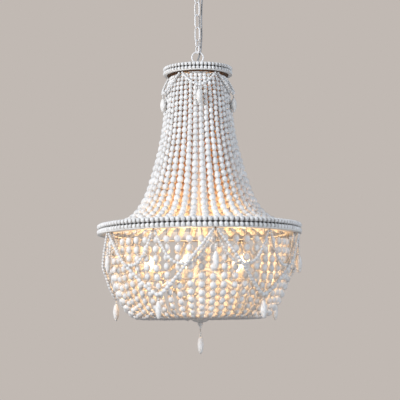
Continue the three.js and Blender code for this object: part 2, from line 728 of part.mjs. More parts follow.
// Swag number i of a garland between its two hooks: its shape as a function of a share from 0 to 1.
// The garland's drops are the depths of its swags in turn.
function swagPoint(swag, i, share) {
  const side = 2 * share - 1;
  const hookRunAngle = THREE.MathUtils.radToDeg(HOOK_RUN / swag.hookRadius);
  const dropShare = 1 - Math.abs(side) ** swag.fullness;
  const radius = lerp(swag.hookRadius, swag.lowRadius, fromTable(swag.leanShares, dropShare));
  const angle = swag.firstHook + swag.span * (i + 0.5) + (side * (swag.span - hookRunAngle)) / 2;
  return around(angle, radius, swag.hookZ - HOOK_RISE - swag.drops[i % swag.drops.length] * dropShare);
}

// Stations of one swag: the small beads at its ends as a plain cord that grows with them, and the graded
// beads between.
function swagStations(swag, number) {
  const samples = 200;
  const points = [];
  for (let i = 0; i <= samples; i++) points.push(swagPoint(swag, number, i / samples));
  const path = new THREE.CatmullRomCurve3(points);
  path.arcLengthDivisions = samples;
  const total = path.getLength();
  const widths = [];
  for (let i = 0; i < swag.beads; i++) {
    const fromMiddle = Math.abs((2 * i) / (swag.beads - 1) - 1);
    widths.push(lerp(swag.bead, swag.bead * BEAD_GROWTH_SHARE, fromMiddle));
  }
  const beaded = widths.reduce((sum, width) => sum + width, 0);
  const start = (total - beaded) / 2;
  const stations = [];
  const plainSteps = swag.plainSteps;
  const plainRadius = (fromHook) => lerp(SEED_BEAD, widths[0], fromHook) / 2;
  for (let i = 0; i < plainSteps; i++) {
    stations.push({ along: (start * i) / plainSteps, radius: plainRadius(i / plainSteps) });
  }
  let along = start;
  widths.forEach((width) => {
    stations.push({ along, radius: (width / 2) * BEAD_NECK_SHARE });
    stations.push({ along: along + width / 2, radius: width / 2 });
    along += width;
  });
  stations.push({ along, radius: (widths[0] / 2) * BEAD_NECK_SHARE });
  for (let i = 1; i <= plainSteps; i++) {
    stations.push({ along: along + (start * i) / plainSteps, radius: plainRadius(1 - i / plainSteps) });
  }
  return stations.map((station) => ({
    at: path.getPointAt(Math.min(station.along / total, 1)),
    radius: station.radius,
  }));
}

// A garland is one closed string that goes round the hoop from hook to hook. It rises a little to each
// hook, with a flat side up against the hoop and an edge down for a drop.
function garland(swag) {
  const stations = [];
  const count = Math.round(360 / swag.span);
  for (let i = 0; i < count; i++) {
    const hook = around(swag.firstHook + swag.span * i, swag.hookRadius, swag.hookZ);
    stations.push({ at: hook, radius: SEED_BEAD / 2 }, ...swagStations(swag, i));
  }
  const fromAxis = (at) => new THREE.Vector3(at.x, at.y, 0);
  return swept(stations, STRAND_SIDES, { closed: true, outwardAt: fromAxis, phase: Math.PI / 2 });
}

// The place under the middle of a swag where its drop hangs.
function swagLowPoint(swag, i) {
  return swagPoint(swag, i, 0.5).add(new THREE.Vector3(0, 0, -swag.bead / 2 - SEAT_GAP));
}

// Outside of the upper strands at a height, which a crown drop hangs clear of.
function flareRadiusAt(z) {
  const dropShare = (upperStartZ - z) / (upperStartZ - upperEndZ);
  const reachShare = fromTable(FLARE_SHARES, dropShare);
  const bead = lerp(UPPER_TOP_BEAD, UPPER_END_BEAD, dropShare);
  return lerp(upperTopRadius, upperEndRadius, reachShare) + bead / 2;
}
// The flat side of a seed string lies this far above its middle.
const seedTop = (SEED_BEAD / 2) * Math.cos(Math.PI / STRAND_SIDES);
const crownHookZ = crownFlange.bottom - SEAT_GAP - seedTop;
const mainHookZ = mainFlange.bottom - SEAT_GAP - seedTop;
const crownDropTopZ = crownHookZ - Math.max(...CROWN_SWAG_DROPS) - CROWN_DROP_HANGER;
const crownDropBellyZ = crownDropTopZ - CROWN_DROP_LENGTH / 2;
const crownSwag = {
  firstHook: CROWN_SWAG_START,
  span: SECTOR,
  hookRadius: upperTopRadius + UPPER_TOP_BEAD / 2 + GARLAND_CLEARANCE + SEED_BEAD / 2,
  lowRadius: flareRadiusAt(crownDropBellyZ) + DROP_RADIUS,
  hookZ: crownHookZ,
  drops: CROWN_SWAG_DROPS,
  fullness: DROP_SWAG_FULLNESS,
  bead: CROWN_SWAG_BEAD,
  beads: CROWN_SWAG_BEADS,
  leanShares: EVEN_LEAN_SHARES,
  plainSteps: 2,
};
const curtainRadius = lowerTopRadius + LOWER_TOP_BEAD / 2 + GARLAND_CLEARANCE;
const shortSwag = {
  firstHook: HOOK_START,
  span: SECTOR / 2,
  hookRadius: curtainRadius + SHORT_SWAG_BEAD / 2,
  lowRadius: curtainRadius + SHORT_SWAG_BEAD / 2 - SHORT_SWAG_TUCK,
  hookZ: mainHookZ,
  drops: [SHORT_SWAG_DROP],
  fullness: FREE_SWAG_FULLNESS,
  bead: SHORT_SWAG_BEAD,
  beads: SHORT_SWAG_BEADS,
  leanShares: EVEN_LEAN_SHARES,
  plainSteps: 2,
};
const passedShare = SHORT_SWAG_DROP / LONG_SWAG_DROP;
const longHookRadius = shortSwag.hookRadius + SHORT_SWAG_BEAD / 2 + LONG_SWAG_BEAD / 2 + LAYER_CLEARANCE;
const longSwag = {
  firstHook: HOOK_START,
  span: SECTOR,
  hookRadius: longHookRadius,
  lowRadius: longHookRadius - LONG_SWAG_TUCK,
  hookZ: mainHookZ,
  drops: [LONG_SWAG_DROP],
  fullness: DROP_SWAG_FULLNESS,
  bead: LONG_SWAG_BEAD,
  beads: LONG_SWAG_BEADS,
  leanShares: [[0, 0], ...PASSED_LEAN_SHARES.map(([rest, lean]) => [lerp(passedShare, 1, rest), lean])],
  plainSteps: 3,
};
addPiece('crown_garland', garland(crownSwag), 'wood');
addPiece('short_garland', garland(shortSwag), 'wood');
addPiece('long_garland', garland(longSwag), 'wood');

// Drops under the middles of the crown and long swags, and at the hooks of the long garland.
for (let i = 0; i < FOLD; i++) {
  const hookDropZ = longSwag.hookZ - SEED_BEAD / 2 - SEAT_GAP;
  const hook = around(HOOK_START + SECTOR * i, longSwag.hookRadius, hookDropZ);
  hangDrop(`crown_drop_${i + 1}`, CROWN_DROP_HANGER, CROWN_DROP_LENGTH, swagLowPoint(crownSwag, i));
  hangDrop(`swag_drop_${i + 1}`, SWAG_DROP_HANGER, DROP_LENGTH, swagLowPoint(longSwag, i));
  hangDrop(`hook_drop_${i + 1}`, HOOK_DROP_HANGER, DROP_LENGTH, hook);
}

// Power cord, from the bushing down beside the chain, past the small links and into the loop's collar.
// Its points are measured from the bushing's mouth, and the last one from the collar's top.
const cordTop = collarTop - BUSHING_HEIGHT - SEAT_GAP;
const cordEnd = loopCollarTop + SEAT_GAP;
const cordRoute = [
  [16, 0, 0], [16, 0, 0.08], [14.6, 0, 0.24], [13, 0, 0.4], [12.4, 0.4, 0.52], [12.8, 1, 0.63],
  [12.2, 2.4, 0.71], [10.8, 4.4, 0.78], [9.4, 6, 0.845], [6.4, 6.8, 0.895], [2.4, 6.5, 0.94],
  [0.4, 6, 0.97], [0, 6, 1],
];
const cordPoints = cordRoute.map(([x, y, share]) => (
  new THREE.Vector3(x, y, lerp(cordTop, cordEnd, share))
));
const cordCurve = new THREE.CatmullRomCurve3(cordPoints);
addPiece('power_cord', bar(cordCurve, CORD_RADIUS, CORD_SIDES, CORD_STEPS), 'cord');

export default chandelier;
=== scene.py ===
# %% [markdown]
# # A beaded chandelier
# This notebook dresses the plain solids of a hanging lamp with the parts that give it its looks: more than
# four thousand wooden beads, the wire that holds them, lit bulbs and painted iron. The solids come in as a
# fixed frame. Each one is a guide: what is made here lies where its solid lies and moves with its body.

# %% Load the frame
import math
import random

import bmesh
import bpy
from mathutils import Matrix, Vector
from mathutils.geometry import interpolate_bezier


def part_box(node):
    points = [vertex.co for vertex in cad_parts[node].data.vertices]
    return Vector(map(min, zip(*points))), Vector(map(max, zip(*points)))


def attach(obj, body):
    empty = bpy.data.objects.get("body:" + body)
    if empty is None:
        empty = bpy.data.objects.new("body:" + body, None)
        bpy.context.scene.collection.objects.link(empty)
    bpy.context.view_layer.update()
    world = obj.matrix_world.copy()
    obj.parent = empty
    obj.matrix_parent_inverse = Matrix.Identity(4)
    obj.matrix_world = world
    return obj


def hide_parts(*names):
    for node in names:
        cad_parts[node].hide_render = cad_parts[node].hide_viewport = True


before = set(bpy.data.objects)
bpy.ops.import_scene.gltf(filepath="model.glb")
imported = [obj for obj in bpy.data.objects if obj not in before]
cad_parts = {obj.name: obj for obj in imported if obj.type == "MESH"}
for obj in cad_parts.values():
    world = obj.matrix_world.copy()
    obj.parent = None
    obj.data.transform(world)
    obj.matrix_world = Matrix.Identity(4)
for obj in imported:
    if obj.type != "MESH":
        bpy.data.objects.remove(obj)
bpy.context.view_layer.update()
MM = 0.001


def into_scene(name, data):
    """Puts an object that shows the data into the scene."""
    made = bpy.data.objects.new(name, data)
    bpy.context.scene.collection.objects.link(made)
    return made


# %% [markdown]
# ## The camera
# The lamp is seen from below and from far away, so that its two hoops are flat ovals of nearly the same
# shape. A long lens gives that. One could turn the view by hand until it looks right, but numbers can be
# compared: the distance, the height and the tilt were fitted to the ends and fronts of both hoops.

# %% Camera
PHOTO_SIDE = 400
FOCAL_PIXELS = 1347
SENSOR_WIDTH = 36
FARTHEST_SEEN = 100
CAMERA_DISTANCE = 4.0
CAMERA_HEIGHT = -1.105
CAMERA_TILT = 5.83
CAMERA_TURN = 0.04
CAMERA_ROLL = -0.6

camera_data = bpy.data.cameras.new("long_lens")
camera_data.sensor_width = SENSOR_WIDTH
camera_data.lens = FOCAL_PIXELS / PHOTO_SIDE * SENSOR_WIDTH
camera_data.clip_end = FARTHEST_SEEN
camera = into_scene("camera", camera_data)
turn = Matrix.Rotation(math.radians(-CAMERA_TURN), 4, "Z")
tilt = Matrix.Rotation(math.radians(90 + CAMERA_TILT), 4, "X")
roll = Matrix.Rotation(math.radians(CAMERA_ROLL), 4, "Z")
camera.matrix_world = Matrix.Translation((0, -CAMERA_DISTANCE, CAMERA_HEIGHT)) @ turn @ tilt @ roll
bpy.context.scene.camera = camera
print("lens:", round(camera_data.lens), "mm")

# %% [markdown]
# ## Materials
# Each material is a Principled shader. Colours are written as the hex values one sees on a screen, and
# one function turns them into the linear values that the shader wants. Another one adds a node, sets it
# and links it. Patterns could come from image files, but noise on Object coordinates needs no file and no
# unwrapping, and it stays on a piece when the piece moves.

# %% Helpers for materials
def linear(hex_colour):
    """An sRGB hex colour such as "#E8E4DC" as linear red, green, blue and alpha."""
    parts = [int(hex_colour[i:i + 2], 16) / 255 for i in (1, 3, 5)]
    return [c / 12.92 if c <= 0.04045 else ((c + 0.055) / 1.055) ** 2.4 for c in parts] + [1]


def add_node(tree, kind, settings=(), inputs=(), links=(), stops=()):
    """Adds a node, sets its properties and inputs, and links other nodes' outputs to its inputs. stops are
    the (place, hex colour) pairs of a colour ramp."""
    node = tree.nodes.new(kind)
    for name, value in dict(settings).items():
        setattr(node, name, value)
    for name, value in dict(inputs).items():
        node.inputs[name].default_value = value
    for name, output in dict(links).items():
        tree.links.new(output, node.inputs[name])
    for _ in stops[2:]:
        node.color_ramp.elements.new(0.5)
    for number, (place, colour) in enumerate(stops):
        node.color_ramp.elements[number].position = place
        node.color_ramp.elements[number].color = linear(colour)
    return node


def new_material(name, **surface):
    """An empty Principled material, and its node tree and shader."""
    material = bpy.data.materials.new(name)
    material.use_nodes = True
    tree = material.node_tree
    shader = tree.nodes["Principled BSDF"]
    for socket, value in surface.items():
        shader.inputs[socket.replace("_", " ")].default_value = value
    return material, tree, shader


def object_noise(tree, grain, stretch=(1, 1, 1), detail=3):
    """Noise on Object coordinates. grain is the size of its spots in metres."""
    place = add_node(tree, "ShaderNodeTexCoord").outputs["Object"]
    scaled = add_node(tree, "ShaderNodeMapping", inputs={"Scale": stretch}, links={"Vector": place})
    noise = add_node(tree, "ShaderNodeTexNoise", inputs={"Scale": 1 / grain, "Detail": detail},
                     links={"Vector": scaled.outputs["Vector"]})
    return noise.outputs["Fac"]


def coat_shader(tree, shader, colour, relief, strength, depth):
    """Gives a shader its colour and lets a pattern raise its surface. depth is in metres."""
    bump = add_node(tree, "ShaderNodeBump", inputs={"Strength": strength, "Distance": depth},
                    links={"Height": relief})
    tree.links.new(colour, shader.inputs["Base Color"])
    tree.links.new(bump.outputs["Normal"], shader.inputs["Normal"])


print("material helpers ready")

# %% [markdown]
# ### Whitewashed beech
# The beads are turned beech, dipped in thin white paint and rubbed. The paint stays grey-white in the
# pores and lets a little wood show, and no two beads took the same coat. The pores of beech are a tenth of
# a millimetre wide, too fine to show from here, so they are drawn as streaks 1.5 mm wide and about five
# times as long. The random value of each loose part gives each bead its own tone: one material serves them
# all. Round the two holes of a bead the colour turns brown: partly paint rubbed thin there, partly painted
# shade where one bead meets the next. The bead's shape carries the nearness of its holes as an attribute.
#
# High up in the flare the strands' inward side gets a brown that is painted shade, for the warm shade inside
# the lamp. The shader finds that side by the angle between a surface and the way out from the lamp's axis.

# %% The painted shade on the inward side
# Heights in metres: below the first the inward side has no painted shade, above the second it has all of it.
UNSHADED_BELOW = -0.76
SHADED_ABOVE = -0.62


def inward_shade(tree):
    """One where a surface looks towards the lamp's axis, high up in the flare, and zero elsewhere: the mask
    of the painted shade.
    """
    place = add_node(tree, "ShaderNodeTexCoord").outputs["Object"]
    normal = add_node(tree, "ShaderNodeNewGeometry").outputs["Normal"]
    level = add_node(tree, "ShaderNodeVectorMath", {"operation": "MULTIPLY"}, {1: (1, 1, 0)}, {0: place})
    outwards = add_node(tree, "ShaderNodeVectorMath", {"operation": "NORMALIZE"}, links={0: level.outputs[0]})
    facing = add_node(tree, "ShaderNodeVectorMath", {"operation": "DOT_PRODUCT"},
                      links={0: normal, 1: outwards.outputs[0]})
    inwards = add_node(tree, "ShaderNodeMapRange", inputs={"From Min": 0.1, "From Max": -0.45},
                       links={"Value": facing.outputs["Value"]})
    height = add_node(tree, "ShaderNodeSeparateXYZ", links={0: place})
    high = add_node(tree, "ShaderNodeMapRange", inputs={"From Min": UNSHADED_BELOW, "From Max": SHADED_ABOVE},
                    links={"Value": height.outputs["Z"]})
    both = add_node(tree, "ShaderNodeMath", {"operation": "MULTIPLY"},
                    links={0: inwards.outputs["Result"], 1: high.outputs["Result"]})
    return both.outputs[0]


# The height above which the inward side has all of its painted shade.
print("bare above", SHADED_ABOVE, "m")

# %% Whitewashed beech
WHITEWASH = ("#F4F3F0", "#ECEBE8", "#CFC9C0")
SPINDLE_WHITEWASH = ("#F6F4F0", "#EDEAE4", "#D3CABD")
# Brown round a bead's holes: partly paint rubbed thin, partly painted shade where one bead meets the next.
HOLE_WEAR_AND_SHADE_BROWN = "#8E7862"
# The brown of the flare's inward side is painted shade.
INNER_SHADE_BROWN = "#B88A56"


def whitewashed_wood(name, coats, streak_width, shaded_inside=False):
    """Turned beech under thin white paint: matt, streaked along the grain, each bead of its own tone."""
    material, tree, shader = new_material(name, Roughness=0.62, IOR=1.5)
    pale, middle, worn = coats
    streaks = object_noise(tree, streak_width, stretch=(1, 1, 0.22), detail=4)
    coat = add_node(tree, "ShaderNodeValToRGB", links={"Fac": streaks},
                    stops=[(0.34, worn), (0.47, middle), (0.62, pale)])
    bead_value = add_node(tree, "ShaderNodeNewGeometry").outputs["Random Per Island"]
    tone = add_node(tree, "ShaderNodeMapRange", inputs={"To Min": 0.86, "To Max": 1.0},
                    links={"Value": bead_value})
    toned = add_node(tree, "ShaderNodeHueSaturation",
                     links={"Color": coat.outputs["Color"], "Value": tone.outputs["Result"]})
    # The browner colour near the holes is partly rubbed paint and partly painted shade between touching
    # beads.
    nearness = add_node(tree, "ShaderNodeAttribute", {"attribute_name": "hole_nearness"}).outputs["Fac"]
    rubbed_and_shaded = add_node(tree, "ShaderNodeMapRange", inputs={"From Min": 0.8, "From Max": 1.0, "To Max": 0.4},
                      links={"Value": nearness})
    browns = [(HOLE_WEAR_AND_SHADE_BROWN, rubbed_and_shaded.outputs["Result"])]
    # High up in the flare the inward side gets brown painted shade.
    if shaded_inside:
        browns.append((INNER_SHADE_BROWN, inward_shade(tree)))
    colour = toned.outputs["Color"]
    for brown, amount in browns:
        mixed = add_node(tree, "ShaderNodeMix", {"data_type": "RGBA"}, {"B": linear(brown)},
                         {"Factor": amount, "A": colour})
        colour = mixed.outputs["Result"]
    coat_shader(tree, shader, colour, streaks, 0.25, 0.2 * MM)
    return material


bead_wood = whitewashed_wood("whitewashed_beech", WHITEWASH, 1.5 * MM)
# The flare's strands carry painted shade on their inward side.
strand_wood = whitewashed_wood("whitewashed_beech_painted_inner_shade", WHITEWASH, 1.5 * MM, shaded_inside=True)
spindle_wood = whitewashed_wood("whitewashed_beech_spindles", SPINDLE_WHITEWASH, 2.2 * MM)
print("wood:", bead_wood.name, strand_wood.name, spindle_wood.name)

# %% [markdown]
# ### Painted iron
# Hoops, arms, chain and dish are iron under a brushed coat of off-white enamel. It is satin, slightly
# uneven, and thin on the edges where the iron's grey comes through in small spots. A metal shader would be
# wrong here, because the eye meets the paint first: so it is a paint's IOR and roughness, with soft clouds
# of 9 mm in the colour and brush strokes of 1.2 mm in the relief.

# %% Painted iron
def painted_iron(name, paint, shade, chip, roughness):
    """Off-white enamel on iron, brushed on: satin, with soft unevenness and a few worn spots."""
    material, tree, shader = new_material(name, Roughness=roughness, IOR=1.5)
    coat = add_node(tree, "ShaderNodeValToRGB", links={"Fac": object_noise(tree, 9 * MM, detail=4)},
                    stops=[(0.24, chip), (0.3, shade), (0.6, paint)])
    strokes = object_noise(tree, 1.2 * MM, stretch=(1, 1, 0.3), detail=2)
    coat_shader(tree, shader, coat.outputs["Color"], strokes, 0.2, 0.15 * MM)
    return material


white_iron = painted_iron("off_white_enamel_on_iron", "#E9E7E2", "#DAD6CF", "#9C968D", 0.42)
chain_iron = painted_iron("white_enamel_on_chain_steel", "#EFEEEC", "#DDDCD9", "#8F8F90", 0.35)
print("paint:", white_iron.name, chain_iron.name)

# %% [markdown]
# ### Wire, cord, sleeves and brass
# The beads hang on thin zinc-plated steel wire that has dulled to grey-brown, and black iron wire laces the
# hoops and makes the hooks; the thick lacing between the hoops' rows is also painted shade. The cord is
# smoky PVC and takes a soft shine. The candle sleeves are moulded polycarbonate, the caps of the bulbs are
# thin brass, and a dark brown washer under the crown's flange is painted shade. These parts are small in
# the picture, so one function with two near colours is enough for all of them.

# %% Wire, cord, sleeves and brass
def plain_finish(name, colour, second, spot, **surface):
    """One colour that drifts a little to a second one in spots of the given size."""
    material, tree, shader = new_material(name, **surface)
    drift = object_noise(tree, spot)
    blend = add_node(tree, "ShaderNodeValToRGB", links={"Fac": drift}, stops=[(0.35, second), (0.65, colour)])
    coat_shader(tree, shader, blend.outputs["Color"], drift, 0.1, 0.1 * MM)
    return material


dull_wire = plain_finish("dulled_zinc_wire", "#A39B90", "#7D7268", 3 * MM, Metallic=0.7, Roughness=0.45)
black_wire = plain_finish("annealed_iron_wire", "#3A342F", "#282420", 3 * MM, Metallic=0.6, Roughness=0.6)
smoky_pvc = plain_finish("smoky_pvc", "#8D8F90", "#7C7E80", 6 * MM, Roughness=0.28, IOR=1.53)
ivory_tube = plain_finish("ivory_polycarbonate", "#F2ECDD", "#E9E1CE", 8 * MM, Roughness=0.4, IOR=1.58)
# A dark brown for the underside of the crown's flange: painted shade.
underside_shade_brown = plain_finish("painted_shade_under_crown", "#6A5038", "#553E2A", 5 * MM, Roughness=0.7)
thin_brass = plain_finish("rolled_brass", "#C9A467", "#B08C50", 2 * MM, Metallic=1.0, Roughness=0.35)
print("finishes:", dull_wire.name, smoky_pvc.name, ivory_tube.name, underside_shade_brown.name, thin_brass.name)

# %% [markdown]
# ### Lit bulbs
# A lit candle bulb is a thin white-hot filament in misted glass that carries a soft glow. Clear glass with
# a bright wire would give hard sparks, and a plain glowing shape would look like a paper cut-out, because
# a glow has the same strength from edge to edge. So the glass glows from its middle and fades, with its
# cover, to its outline, its tip and its foot. Both are nearly black under their glow, so that no lamp
# whitens them. The light that the beads get comes from a small round lamp that stands in each bulb.

# %% Lit bulbs
UNLIT = "#3A3226"
GLASS_GLOW = 3.4
GLASS_COVER = 0.7
RIM_SHARE = 0.12
FILAMENT_GLOW = 3.0
bulb_low, bulb_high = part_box("bulb_1")
GLOW_Z = (bulb_low.z + bulb_high.z) / 2 - 7 * MM


def glowing(name, hot, warm, strength, **surface):
    """Something dark that glows between two colours."""
    material, tree, shader = new_material(name, Base_Color=linear(UNLIT), **surface)
    glow = add_node(tree, "ShaderNodeValToRGB", links={"Fac": object_noise(tree, 5 * MM)},
                    stops=[(0.3, warm), (0.6, hot)])
    tree.links.new(glow.outputs["Color"], shader.inputs["Emission Color"])
    shader.inputs["Emission Strength"].default_value = strength
    return material, tree, shader


def soft_rim(tree, shader, strength, alpha):
    """The glow and the cover fade from a bulb's middle to its outline, and towards its tip and its foot."""
    smooth = {"interpolation_type": "SMOOTHSTEP"}
    turned_away = add_node(tree, "ShaderNodeLayerWeight", inputs={"Blend": 0.5}).outputs["Facing"]
    middle = add_node(tree, "ShaderNodeMapRange", smooth, {"From Min": 0.75, "From Max": 0.1},
                      {"Value": turned_away})
    place = add_node(tree, "ShaderNodeTexCoord").outputs["Object"]
    height = add_node(tree, "ShaderNodeSeparateXYZ", links={0: place}).outputs["Z"]
    above = add_node(tree, "ShaderNodeMath", {"operation": "SUBTRACT"}, {1: GLOW_Z}, {0: height})
    away = add_node(tree, "ShaderNodeMath", {"operation": "ABSOLUTE"}, links={0: above.outputs[0]})
    level = add_node(tree, "ShaderNodeMapRange", smooth, {"From Min": 30 * MM, "From Max": 4 * MM},
                     {"Value": away.outputs[0]})
    core = add_node(tree, "ShaderNodeMath", {"operation": "MULTIPLY"},
                    links={0: middle.outputs[0], 1: level.outputs[0]})
    for socket, full in (("Emission Strength", strength), ("Alpha", alpha)):
        amount = add_node(tree, "ShaderNodeMapRange", inputs={"To Min": full * RIM_SHARE, "To Max": full},
                          links={"Value": core.outputs[0]})
        tree.links.new(amount.outputs[0], shader.inputs[socket])


bulb_glass, glass_tree, glass_shader = glowing("misted_bulb_glass", "#FFECD0", "#FFE2B8", 0,
                                               Roughness=0.12, IOR=1.5)
soft_rim(glass_tree, glass_shader, GLASS_GLOW, GLASS_COVER)
filament = glowing("white_hot_filament", "#FFF2DC", "#FFE6C0", FILAMENT_GLOW, Roughness=0.5)[0]
print("glass:", bulb_glass.name, "filament:", filament.name)

# %% [markdown]
# ## The power cord
# The cord leaves a bushing in the canopy, hangs beside the chain, passes the small links and goes into
# the collar of the loop. It is fixed at both ends, so what one sees is its whole free length. It could be
# dropped by a simulation, but a cord held so short keeps the bends it was given. So a Bezier spline with
# automatic handles runs through the same points as the cord's solid.

# %% Power cord
CORD_DIAMETER = 5 * MM
BUSHING_GAP = 0.3 * MM
CORD_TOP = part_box("cord_bushing")[0].z - BUSHING_GAP
CORD_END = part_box("power_cord")[0].z
CORD_SIDE = 16 * MM
CORD_ROUTE = [  # millimetres to the side and to the back, and the share of the way down
    (16, 0, 0), (16, 0, 0.08), (14.6, 0, 0.24), (13, 0, 0.4), (12.4, 0.4, 0.52), (12.8, 1, 0.63),
    (12.2, 2.4, 0.71), (10.8, 4.4, 0.78), (9.4, 6, 0.845), (6.4, 6.8, 0.895), (2.4, 6.5, 0.94),
    (0.4, 6, 0.97), (0, 6, 1),
]
cord_curve = bpy.data.curves.new("cord_line", "CURVE")
cord_curve.dimensions = "3D"
cord_curve.bevel_depth = CORD_DIAMETER / 2
cord_curve.bevel_resolution = 3
cord_curve.resolution_u = 6
cord_curve.use_fill_caps = True
cord_line = cord_curve.splines.new("BEZIER")
cord_line.bezier_points.add(len(CORD_ROUTE) - 1)
for knot, (x, y, share) in zip(cord_line.bezier_points, CORD_ROUTE):
    knot.co = (x * MM, y * MM, CORD_TOP + (CORD_END - CORD_TOP) * share)
    knot.handle_left_type = knot.handle_right_type = "AUTO"
cord = into_scene("smoky_cord", cord_curve)
cord_curve.materials.append(smoky_pvc)
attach(cord, "chain")
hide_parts("power_cord")

# %% [markdown]
# ## From shapes to pieces
# Most pieces are many copies of a few shapes, such as a bead, a short wire and a ring. Linked copies would
# be lighter, but each would be an object of its own. Here a piece is one object that rides on one body. It
# takes a list of (shape, matrix, material number), copies each shape to its place and joins the copies, so
# that its object can stay at the origin.

# %% Joining shapes into a piece
AT_HOME = Matrix.Identity(4)


def point_order(element, count):
    """A number that sorts the edges or faces of a shape with count points by their first three points."""
    lowest = sorted(vert.index for vert in element.verts)[:3]
    return sum(index / count ** place for place, index in enumerate(lowest))


def as_shape(bm, name):
    """Keeps a bmesh as a mesh with smooth faces, to be copied into pieces. Spin and extrude give edges and
    faces another order on each run, and the random value of a loose part depends on it. So both are put in
    the order of their points, and each edge starts at its first point."""
    bm.verts.index_update()
    for elements in (bm.edges, bm.faces):
        elements.sort(key=lambda element: point_order(element, len(bm.verts)))
    shape = bpy.data.meshes.new(name)
    bm.to_mesh(shape)
    bm.free()
    for edge in shape.edges:
        edge.vertices = sorted(edge.vertices)
    shape.polygons.foreach_set("use_smooth", [True] * len(shape.polygons))
    return shape


def at_home(shape, material_number=0):
    """A part of a piece that was made where it belongs."""
    return shape, AT_HOME, material_number


def make_piece(name, parts, nodes=(), materials=(white_iron,), body="lamp_frame"):
    """Joins placed copies of shapes into one object that rides on a body and stands for its nodes."""
    bm = bmesh.new()
    for shape, place, material_number in parts:
        copy = shape.copy()
        copy.transform(place)
        copy.polygons.foreach_set("material_index", [material_number] * len(copy.polygons))
        bm.from_mesh(copy, face_normals=False, vertex_normals=False)
        bpy.data.meshes.remove(copy)
    mesh = bpy.data.meshes.new(name)
    bm.to_mesh(mesh)
    bm.free()
    for material in materials:
        mesh.materials.append(material)
    piece = into_scene(name, mesh)
    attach(piece, body)
    if nodes:
        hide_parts(*nodes)
    return piece


print("unless it says otherwise, a piece is made of", white_iron.name)

# %% [markdown]
# ### Places on a round lamp
# Nearly everything on this lamp stands round its axis. So one function turns an angle, a radius and a
# height into a point, and another turns a shape's own Z axis along a direction and sizes it there.

# %% Placing
def placed(at, along=Vector((0, 0, 1)), width=1.0, length=1.0):
    """The matrix that puts a shape at a point, turns its Z axis along a direction and sizes it."""
    turned = Vector(along).to_track_quat("Z", "Y").to_matrix().to_4x4()
    return Matrix.Translation(at) @ turned @ Matrix.Diagonal((width, width, length, 1))


def around(angle, radius, z):
    """A point at an angle in degrees from the front towards +X, at a radius and a height."""
    turn = math.radians(angle)
    return Vector((radius * math.sin(turn), -radius * math.cos(turn), z))


def standing(at, angle):
    """The matrix that puts a shape at a point and turns it about the vertical by an angle in degrees."""
    return Matrix.Translation(at) @ Matrix.Rotation(math.radians(angle), 4, "Z")


def between(first, last, share):
    """The value at a share of the way from the first to the last."""
    return first + (last - first) * share


print("a point at the right of the crown:", around(90, 0.105, 0))

# %% [markdown]
# ### The bead and the short wire
# A wooden bead is a ball whose ends are cut flat round its hole. A real hole, cut by a Boolean, would cost
# dozens of faces and hide under the next bead. So a bead is a sphere of eight sides and six rings, pressed
# flat at its two poles, which is round enough at this size with smooth shading. The beads of the hoops lie
# side by side and keep their round ends. The wire between two beads is a five-sided cylinder. All are one
# unit wide and long, and each copy is sized as it is placed.

# %% Bead and wire shapes
def bead_ball(sides, rings, darkened=1.0, flat_ends=True):
    """A ball with its hole's axis along Z, one wide and one long. Its ends can be flat round the hole. The
    third argument scales the brown near the holes: partly rubbed paint, partly painted shade where beads
    meet."""
    bm = bmesh.new()
    bmesh.ops.create_uvsphere(bm, u_segments=sides, v_segments=rings, radius=0.5)
    nearness = bm.verts.layers.float.new("hole_nearness")
    flat = math.cos(math.pi / rings) / 2 if flat_ends else 0.5
    for vert in bm.verts:
        vert[nearness] = abs(vert.co.z) * 2 * darkened
        vert.co.z = max(-flat, min(flat, vert.co.z))
    bmesh.ops.scale(bm, vec=(1, 1, 0.5 / flat), verts=bm.verts)
    return as_shape(bm, "bead")


def wire_stub(sides):
    """A cylinder of diameter and length one along Z."""
    bm = bmesh.new()
    bmesh.ops.create_cone(bm, cap_ends=True, segments=sides, radius1=0.5, radius2=0.5, depth=1)
    return as_shape(bm, "wire")


bead = bead_ball(8, 6)
# The hoops' beads get a wider brown round their holes: rubbed paint and painted shade where they touch.
hoop_bead = bead_ball(8, 6, darkened=1.2, flat_ends=False)
wire = wire_stub(5)


def wire_between(start, end, width):
    """A straight piece of wire from one point to another, in a piece's second material."""
    return wire, placed((start + end) / 2, end - start, width, (end - start).length), 1


print("faces of a bead:", len(bead.polygons), "of a wire:", len(wire.polygons))

# %% [markdown]
# ### Turned shapes
# Bands, cups, bulbs and drops are round, and their makers turned or spun them. The lathe of this notebook
# is the spin operator: it turns an outline of (radius, height) points once round the Z axis. Points on the
# axis come out as many copies, which are merged. A Screw modifier could do the same, but a finished mesh
# can be copied and joined at once.

# %% Lathe
def lathe(outline, steps=32, base=0.0):
    """Spins an outline of (radius, height above base) pairs in millimetres into a closed shape."""
    bm = bmesh.new()
    points = [bm.verts.new((radius * MM, 0, (base + z) * MM)) for radius, z in outline]
    edges = [bm.edges.new(pair) for pair in zip(points, points[1:])]
    bmesh.ops.spin(bm, geom=points + edges, axis=(0, 0, 1), cent=(0, 0, 0), angle=2 * math.pi,
                   steps=steps, use_merge=True, use_duplicate=False)
    bmesh.ops.remove_doubles(bm, verts=bm.verts, dist=0.002 * MM)
    bmesh.ops.recalc_face_normals(bm, faces=bm.faces)
    return as_shape(bm, "turned")


def box_heights(node):
    """The lowest and the highest point of a node, in millimetres."""
    return [corner.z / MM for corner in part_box(node)]


print("lathe ready")

# %% [markdown]
# ### Tubes
# Links, rings, hooks and lamp arms are bent from round rod. A tube starts as a circle, and its rim is
# extruded and carried on from point to point of a path, turned each time by no more than the path turns,
# so that it never twists. A bevelled curve would be shorter to write, but it has to be made a mesh before
# it can be joined with other shapes.

